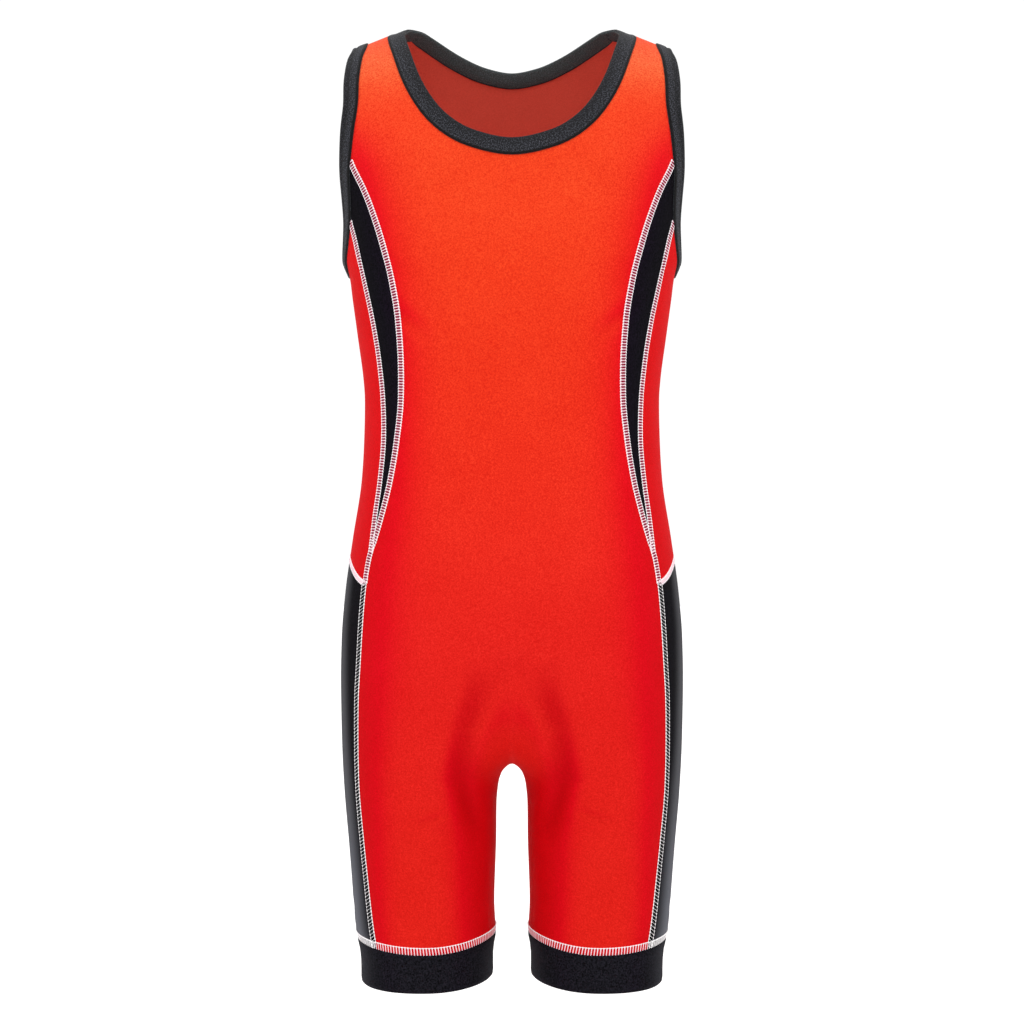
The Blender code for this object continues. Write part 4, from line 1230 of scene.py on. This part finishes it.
def band(name, outlines, outline, outer, inner):
    """A closed band through section outlines[step, point]; its wall inside is duller."""
    fold = int(np.argmax([share for share, _ in outline]))
    places = np.concatenate((outlines, outlines[:, :1]), axis=1)
    places = np.concatenate((places, places[:1]))
    piece, column = grid_of(name, places, lengths(places[:, 0]))
    piece.data.materials.append(outer)
    piece.data.materials.append(inner)
    for face in piece.data.polygons:
        face.material_index = int(min(column[v] for v in face.vertices) >= fold)
    in_edit_mode(piece, lambda: bpy.ops.mesh.remove_doubles(threshold=0.000001),
                 lambda: bpy.ops.mesh.normals_make_consistent(inside=False))
    bpy.ops.object.shade_smooth_by_angle(angle=math.radians(60))
    return piece


def binding_outlines(edge, seam, outline):
    """Section outlines of a binding between its free edge and its seam."""
    points = [settle(seam + (edge - seam) * share) for share, _ in outline]
    return np.stack([base + outward(base) * rise for base, (_, rise) in zip(points, outline)], axis=1)


print("outline points:", len(NECK_OUTLINE), len(ARMHOLE_OUTLINE), len(HEM_OUTLINE))

# %% [markdown]
# The front and the back of the neck's ring meet at an angle over the shoulder's crest. Real
# binding is one strip that runs on in an even curve, so its fold is evened along the ring
# there, most at the fold and not at all at the seam. Subdivision would round it as well,
# but it would round the whole ring.

# %% Lay the bindings and the hem bands
CREST_PASSES = 12  # times that neighbouring outlines are evened
CREST_REACH = 0.030  # how far from the crest it shows
CREST_LIFTS = (
    # distance behind the crest, lift, spread
    (-0.0100, -0.0009, 0.0090),
    (0.0040, 0.0008, 0.0060),
)
half = binding_outlines(join(LINES["neck front"][0], LINES["neck back"][0]),
                        join(LINES["neck front"][1], LINES["neck back"][1]), NECK_OUTLINE)
evened = half.copy()
for _ in range(CREST_PASSES):
    evened[1:-1] = (evened[:-2] + 2 * evened[1:-1] + evened[2:]) / 4
at_crest = np.exp(-(half[..., 1:2] / CREST_REACH) ** 2)
off_seam = np.clip([[4 * share] for share, _ in NECK_OUTLINE], 0, 1)
half += (evened - half) * at_crest * off_seam
for at, rise, spread in CREST_LIFTS:
    half[..., 2] += rise * np.exp(-((half[..., 1] - at) / spread) ** 2)
half[[0, -1], :, 0] = 0
neck = np.concatenate((half, half[-2:0:-1] * (-1, 1, 1)))
PIECES["neck_binding"] = band("neck_binding_knit", neck, NECK_OUTLINE, BINDING_KNIT, BINDING_INSIDE)
arm = [LINES[name] for name in ("arm front", "arm insert", "arm side", "arm back")]
armhole = binding_outlines(join(*(edge for edge, _ in arm))[:-1],
                           join(*(seam for _, seam in arm))[:-1], ARMHOLE_OUTLINE)
hem_turns = turn_of(join(LINES["hem front"], LINES["hem side"], LINES["hem back"][::-1])[:-1])
hem_top, hem_low = at_hem(hem_seam, hem_turns), at_hem(hem_edge, hem_turns)
levels = [round_leg(hem_top + (hem_low - hem_top) * share, hem_turns) for share, _ in HEM_OUTLINE]
hem = np.stack([level + unit(outward(level) * (1, 1, 0)) * rise
                for level, (_, rise) in zip(levels, HEM_OUTLINE)], axis=1)
for hand, mirror in HANDS:
    PIECES["armhole_binding_" + hand] = band("armhole_binding_knit_" + hand, armhole * mirror,
                                             ARMHOLE_OUTLINE, ARMHOLE_KNIT, BINDING_INSIDE)
    PIECES["hem_band_" + hand] = band("black_hem_" + hand, hem * mirror, HEM_OUTLINE, HEM_KNIT,
                                      BLACK_INSIDE)
print("bands:", [PIECES[node].name for node in PIECES if "band" in node or "binding" in node])

# %% [markdown]
# The panels are joined edge to edge by a flat seam. Its thread runs in two rails, one along
# each edge, with short threads that cross between them like the rungs of a ladder. One
# stitch is modelled from two small balls, drawn out into the loops of the rails, a thin bar
# for the rung and a flat bed between them, a sheet that shows the cloth there or, on the insert's
# seams, a painted shade. On the leg seam the rungs slant. At the hems they are long and close, with
# thin rails, and over the hip they touch.
# A stitch is repeated hundreds of times, so it has only a few dozen faces.

# %% One stitch
BED_THICKNESS = 0.0003
LOOP_LENGTH = 1.25  # of a pitch, so that the loops of a rail overlap
LOOP_TURN = 0.35  # in radians; a slanting stitch has straight loops
RUNG_HEIGHT = 0.8  # of the loops' height


def stitch(name, width, pitch, rails, rung, slant, rise):
    """Two rail loops and a rung: the rails at -X and +X, the seam along Y."""
    made = []
    for side, rail in zip((-1, 1), rails):
        bpy.ops.object.select_all(action="DESELECT")
        bpy.ops.mesh.primitive_uv_sphere_add(
            segments=6, ring_count=4, radius=0.5,
            location=(side * (width - rail) / 2, side * slant / 2, 0))
        loop = bpy.context.object
        loop.scale = (rail, pitch * LOOP_LENGTH, rise)
        loop.rotation_euler.z = -side * LOOP_TURN * (slant == 0)
        made.append(loop)
    bpy.ops.mesh.primitive_cylinder_add(vertices=6, radius=0.5, depth=1, end_fill_type="TRIFAN")
    bar = bpy.context.object
    bar.rotation_euler.y = math.radians(90)
    bar.scale = (rise * RUNG_HEIGHT, rung, width - sum(rails) / 2)
    made.append(bar)
    bpy.ops.mesh.primitive_cube_add(size=1)
    bed = bpy.context.object
    bed.scale = (width - sum(rails) / 2, pitch, BED_THICKNESS)
    for part in made:
        part.data.materials.append(WHITE_THREAD)
        part.select_set(True)
    bed.data.materials.append(PAINTED_SEAM_SHADE)
    made.append(bed)
    bpy.ops.object.transform_apply(location=True, rotation=True, scale=True)
    points = read_points(bar)
    points[:, 1] += np.sign(points[:, 0]) * slant / 2
    write_points(bar, points)
    bpy.context.view_layer.objects.active = bar
    bpy.ops.object.join()
    bar.name = bar.data.name = name
    return bar


STITCH_SIZES = {
    # width of the seam, pitch, width of the two rails, width of a rung, its slant, height
    "ladder": (0.0054, 0.0020, (0.0014, 0.0010), 0.0009, 0.0, 0.0007),
    "slanted": (0.0056, 0.0025, (0.0012, 0.0010), 0.0005, 0.0022, 0.0005),
    "hem_loop": (0.0068, 0.0022, (0.0008, 0.0010), 0.0011, 0.0007, 0.0008),
    "hem_close": (0.0068, 0.0018, (0.0014, 0.0016), 0.0014, 0.0004, 0.0008),
    "close": (0.0044, 0.0018, (0.0014, 0.0014), 0.0013, 0.0, 0.0007),
}
UNITS = {name: stitch(name, *sizes) for name, sizes in STITCH_SIZES.items()}
print("faces in one stitch:", {name: len(one.data.polygons) for name, one in UNITS.items()})

# %% [markdown]
# The stitches are copied along the seam lines. Each copy stands on the form, turned with
# the seam, and all copies of a seam become one mesh. Geometry nodes could scatter them, but
# the seam lines are known here as numbers, so the copies are placed directly.

# %% Lay stitches along seams
STITCH_LIFT = 0.0001


def sew_seam(name, runs, material, bed):
    """One mesh of all the stitches on some seams: runs of (line, stitch, hand, shift)."""
    points, faces, uvs, beds, start = [], [], [], [], 0
    for line, stitch_name, hand, shift in runs:
        one, (width, pitch, *_) = UNITS[stitch_name], STITCH_SIZES[stitch_name]
        shape = read_points(one)
        polygons = [tuple(face.vertices) for face in one.data.polygons]
        count = int(round(lengths(line)[-1] / pitch))
        fine = even(line, 2 * count)
        centre, ahead = fine[1::2], unit(fine[2::2] - fine[:-2:2])
        out = outward(centre)
        side = unit(np.cross(out, ahead)) * hand
        placed = (centre[:, None] + side[:, None] * (shape[None, :, 0:1] + shift)
                  + ahead[:, None] * shape[None, :, 1:2]
                  + out[:, None] * (shape[None, :, 2:3] + STITCH_LIFT))
        points.append(placed.reshape(-1, 3))
        u = shape[:, 0] / width + 0.5
        v = shape[:, 1] / pitch
        for copy in range(count):
            first = start + copy * len(shape)
            faces += [tuple(first + corner for corner in face) for face in polygons]
            uvs += [(u[corner], v[corner] + copy) for face in polygons for corner in face]
            beds += [face.material_index for face in one.data.polygons]
        start += count * len(shape)
    mesh = bpy.data.meshes.new(name)
    mesh.from_pydata(np.concatenate(points).tolist(), [], faces)
    layer = mesh.uv_layers.new(name="UVMap")
    layer.data.foreach_set("uv", np.array(uvs, dtype=np.float32).ravel())
    mesh.materials.append(material)
    mesh.materials.append(bed)
    mesh.polygons.foreach_set("material_index", beds)
    piece = bpy.data.objects.new(name, mesh)
    bpy.context.scene.collection.objects.link(piece)
    in_edit_mode(piece, lambda: bpy.ops.mesh.normals_make_consistent(inside=False))
    bpy.ops.object.shade_smooth()
    return piece


print("stitch lift:", STITCH_LIFT * 1000, "mm")

# %% [markdown]
# Each kind of seam has its own stitch and thread. The ladders beside the insert are nearly
# white with a pink cast, the long seams down the legs are white and slant, and the hems are
# sewn with long upright loops. The outer side of the ladder has the heavier rail, so a
# seam's hand says to which side that rail lies.

# %% Sew every seam
STITCHES = {}
HEM_SHIFT = 0.0021  # the hem's stitches lie mostly on the red, over the band's edge
LEG_SHIFT = 0.0009
THREADS = {
    # the thread, and what is seen between its loops: cloth, or on the insert a sheet of painted shade
    "insert_stitches_": (PINK_THREAD, PAINTED_SEAM_SHADE),
    "leg_seam_stitches_": (WHITE_THREAD, BLACK_INSIDE),
    "hip_stitches_": (PINK_THREAD, PINK_THREAD),
    "back_seam_stitches_": (WHITE_THREAD, BLACK_INSIDE),
    "hem_stitches_": (PINK_THREAD, RED_KNIT),
    "side_hem_stitches_": (WHITE_THREAD, BINDING_INSIDE),
}
long_front = join(LINES["insert front"], LINES["hip front"])
# the insert's outer seam runs past its tip and ends under the long one
short_front = np.concatenate((LINES["insert side"][:-1], LINES["hip front"][2:3]))
long_back = join(LINES["side back"], LINES["hip back"], LINES["leg back"])
for hand, mirror in HANDS:
    sign = mirror[0]
    seams = {
        "insert_stitches_": [(long_front, "ladder", sign, 0), (short_front, "ladder", -sign, 0)],
        "leg_seam_stitches_": [(LINES["leg front"], "slanted", sign, LEG_SHIFT)],
        "hip_stitches_": [(LINES["hip side"], "close", sign, 0)],
        "back_seam_stitches_": [(long_back, "slanted", -sign, 0)],
        "hem_stitches_": [(LINES["hem front"], "hem_loop", sign, HEM_SHIFT),
                          (LINES["hem back"][::-1], "hem_loop", sign, HEM_SHIFT)],
        "side_hem_stitches_": [(LINES["hem side"], "hem_close", sign, HEM_SHIFT)],
    }
    for name, runs in seams.items():
        runs = [(line * mirror, *rest) for line, *rest in runs]
        STITCHES[name + hand] = sew_seam(name + hand, runs, *THREADS[name])
for one in UNITS.values():
    bpy.data.objects.remove(one)
for name, piece in STITCHES.items():
    print(name, len(piece.data.polygons), "faces")

# %% [markdown]
# The studio is a wide pale floor under an even white sky, like the light tent of a product
# photographer. A large soft light above and in front brightens the chest more than the
# legs. The sky is dimmer in front, so the cloth's own colours aren't washed out, and both
# sky and floor glow a little more to the eye than on the cloth, as a white backdrop does
# that is lit from behind. The floor lies below the hems, because the garment hangs as if
# on a wearer.

# %% Floor and light
FLOOR_RADIUS = 9
FLOOR_HEIGHT = -0.80
FLOOR_GLOW = 0.35  # only to the eye, like the sky's strength
SKY_GLOW = 1.05
AIM = (0, 0, -0.3)


def seen(tree):
    """1 for what is looked at directly and 0 for light that falls on something else."""
    return wire(tree, "ShaderNodeLightPath").outputs["Is Camera Ray"]


bpy.ops.object.select_all(action="DESELECT")
bpy.ops.mesh.primitive_circle_add(vertices=96, radius=FLOOR_RADIUS, fill_type="NGON",
                                  location=(0, 0, FLOOR_HEIGHT))
floor = bpy.context.object
floor.name = "floor"
floor_material, floor_tree, floor_shader = begin("pale_floor")
fill(floor_tree, floor_shader, {
    "Base Color": (0.92, 0.92, 0.92, 1), "Roughness": 0.9, "Emission Color": (1, 1, 1, 1),
    "Emission Strength": maths(floor_tree, "MULTIPLY", seen(floor_tree), FLOOR_GLOW)})
floor.data.materials.append(floor_material)
world = bpy.data.worlds.new("white_tent")
world.use_nodes = True
sky = world.node_tree
direction = wire(sky, "ShaderNodeSeparateXYZ",
                 {0: wire(sky, "ShaderNodeTexCoord").outputs["Generated"]}).outputs
from_front = ranged(sky, direction[1], -0.9, 0.3, 0.35, 1.0, soft=False)
from_above = ranged(sky, direction[2], -0.2, 0.9, 0.60, 1.50, soft=False)
soft = maths(sky, "MULTIPLY", from_front, from_above)
strength = wire(sky, "ShaderNodeMix", {0: seen(sky), 2: soft, 3: SKY_GLOW}).outputs[0]
fill(sky, sky.nodes["Background"], {"Color": (1, 1, 1, 1), "Strength": strength})
bpy.context.scene.world = world
LIGHTS = (
    # name, place, size, power in watts
    ("key", (0.0, -1.9, 1.3), 1.6, 16.0),
    ("top", (0.0, -0.5, 1.3), 1.0, 3.0),
)
for name, place, size, power in LIGHTS:
    light = bpy.data.lights.new(name, "AREA")
    light.size = size
    light.energy = power
    lamp = bpy.data.objects.new(name, light)
    bpy.context.scene.collection.objects.link(lamp)
    lamp.location = place
    aim = np.array(AIM) - np.array(place)
    lamp.rotation_euler = (math.atan2(np.hypot(aim[0], aim[1]), -aim[2]), 0,
                           math.atan2(-aim[0], aim[1]))
print("lights:", len(LIGHTS), "- floor radius", FLOOR_RADIUS, "m")

# %% [markdown]
# Last, each piece is tied to the frame: it rides with the garment and replaces its solid.
# Its laid area is printed beside the flat area of its cut.

CUTS = {
    # node: width and length of the cut's box, flat area of the cut, slot
    "front_panel": (0.270, 0.650, 0.1300, "red_stretch"),
    "back_panel": (0.290, 0.680, 0.1620, "red_stretch"),
    "side_insert": (0.025, 0.290, 0.0052, "black_stretch"),
    "side_panel": (0.105, 0.250, 0.0210, "red_stretch"),
    "leg_panel": (0.110, 0.285, 0.0280, "black_stretch"),
    "neck_binding": (0.0150, 0.520, 0.0078, "binding_knit"),
    "armhole_binding": (0.0150, 0.380, 0.0056, "binding_knit"),
    "hem_band": (0.0310, 0.290, 0.0087, "black_stretch"),
}
for piece in STITCHES.values():
    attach(piece, "root")
for node, piece in PIECES.items():
    width, length, area, slot = CUTS[node.removesuffix("_left").removesuffix("_right")]
    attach(piece, "root")
    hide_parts(node)
    laid = sum(face.area for face in piece.data.polygons) / 2
    print(node, "laid area", round(laid, 5), "cut", area)

print("pieces:", len(PIECES) + len(STITCHES))
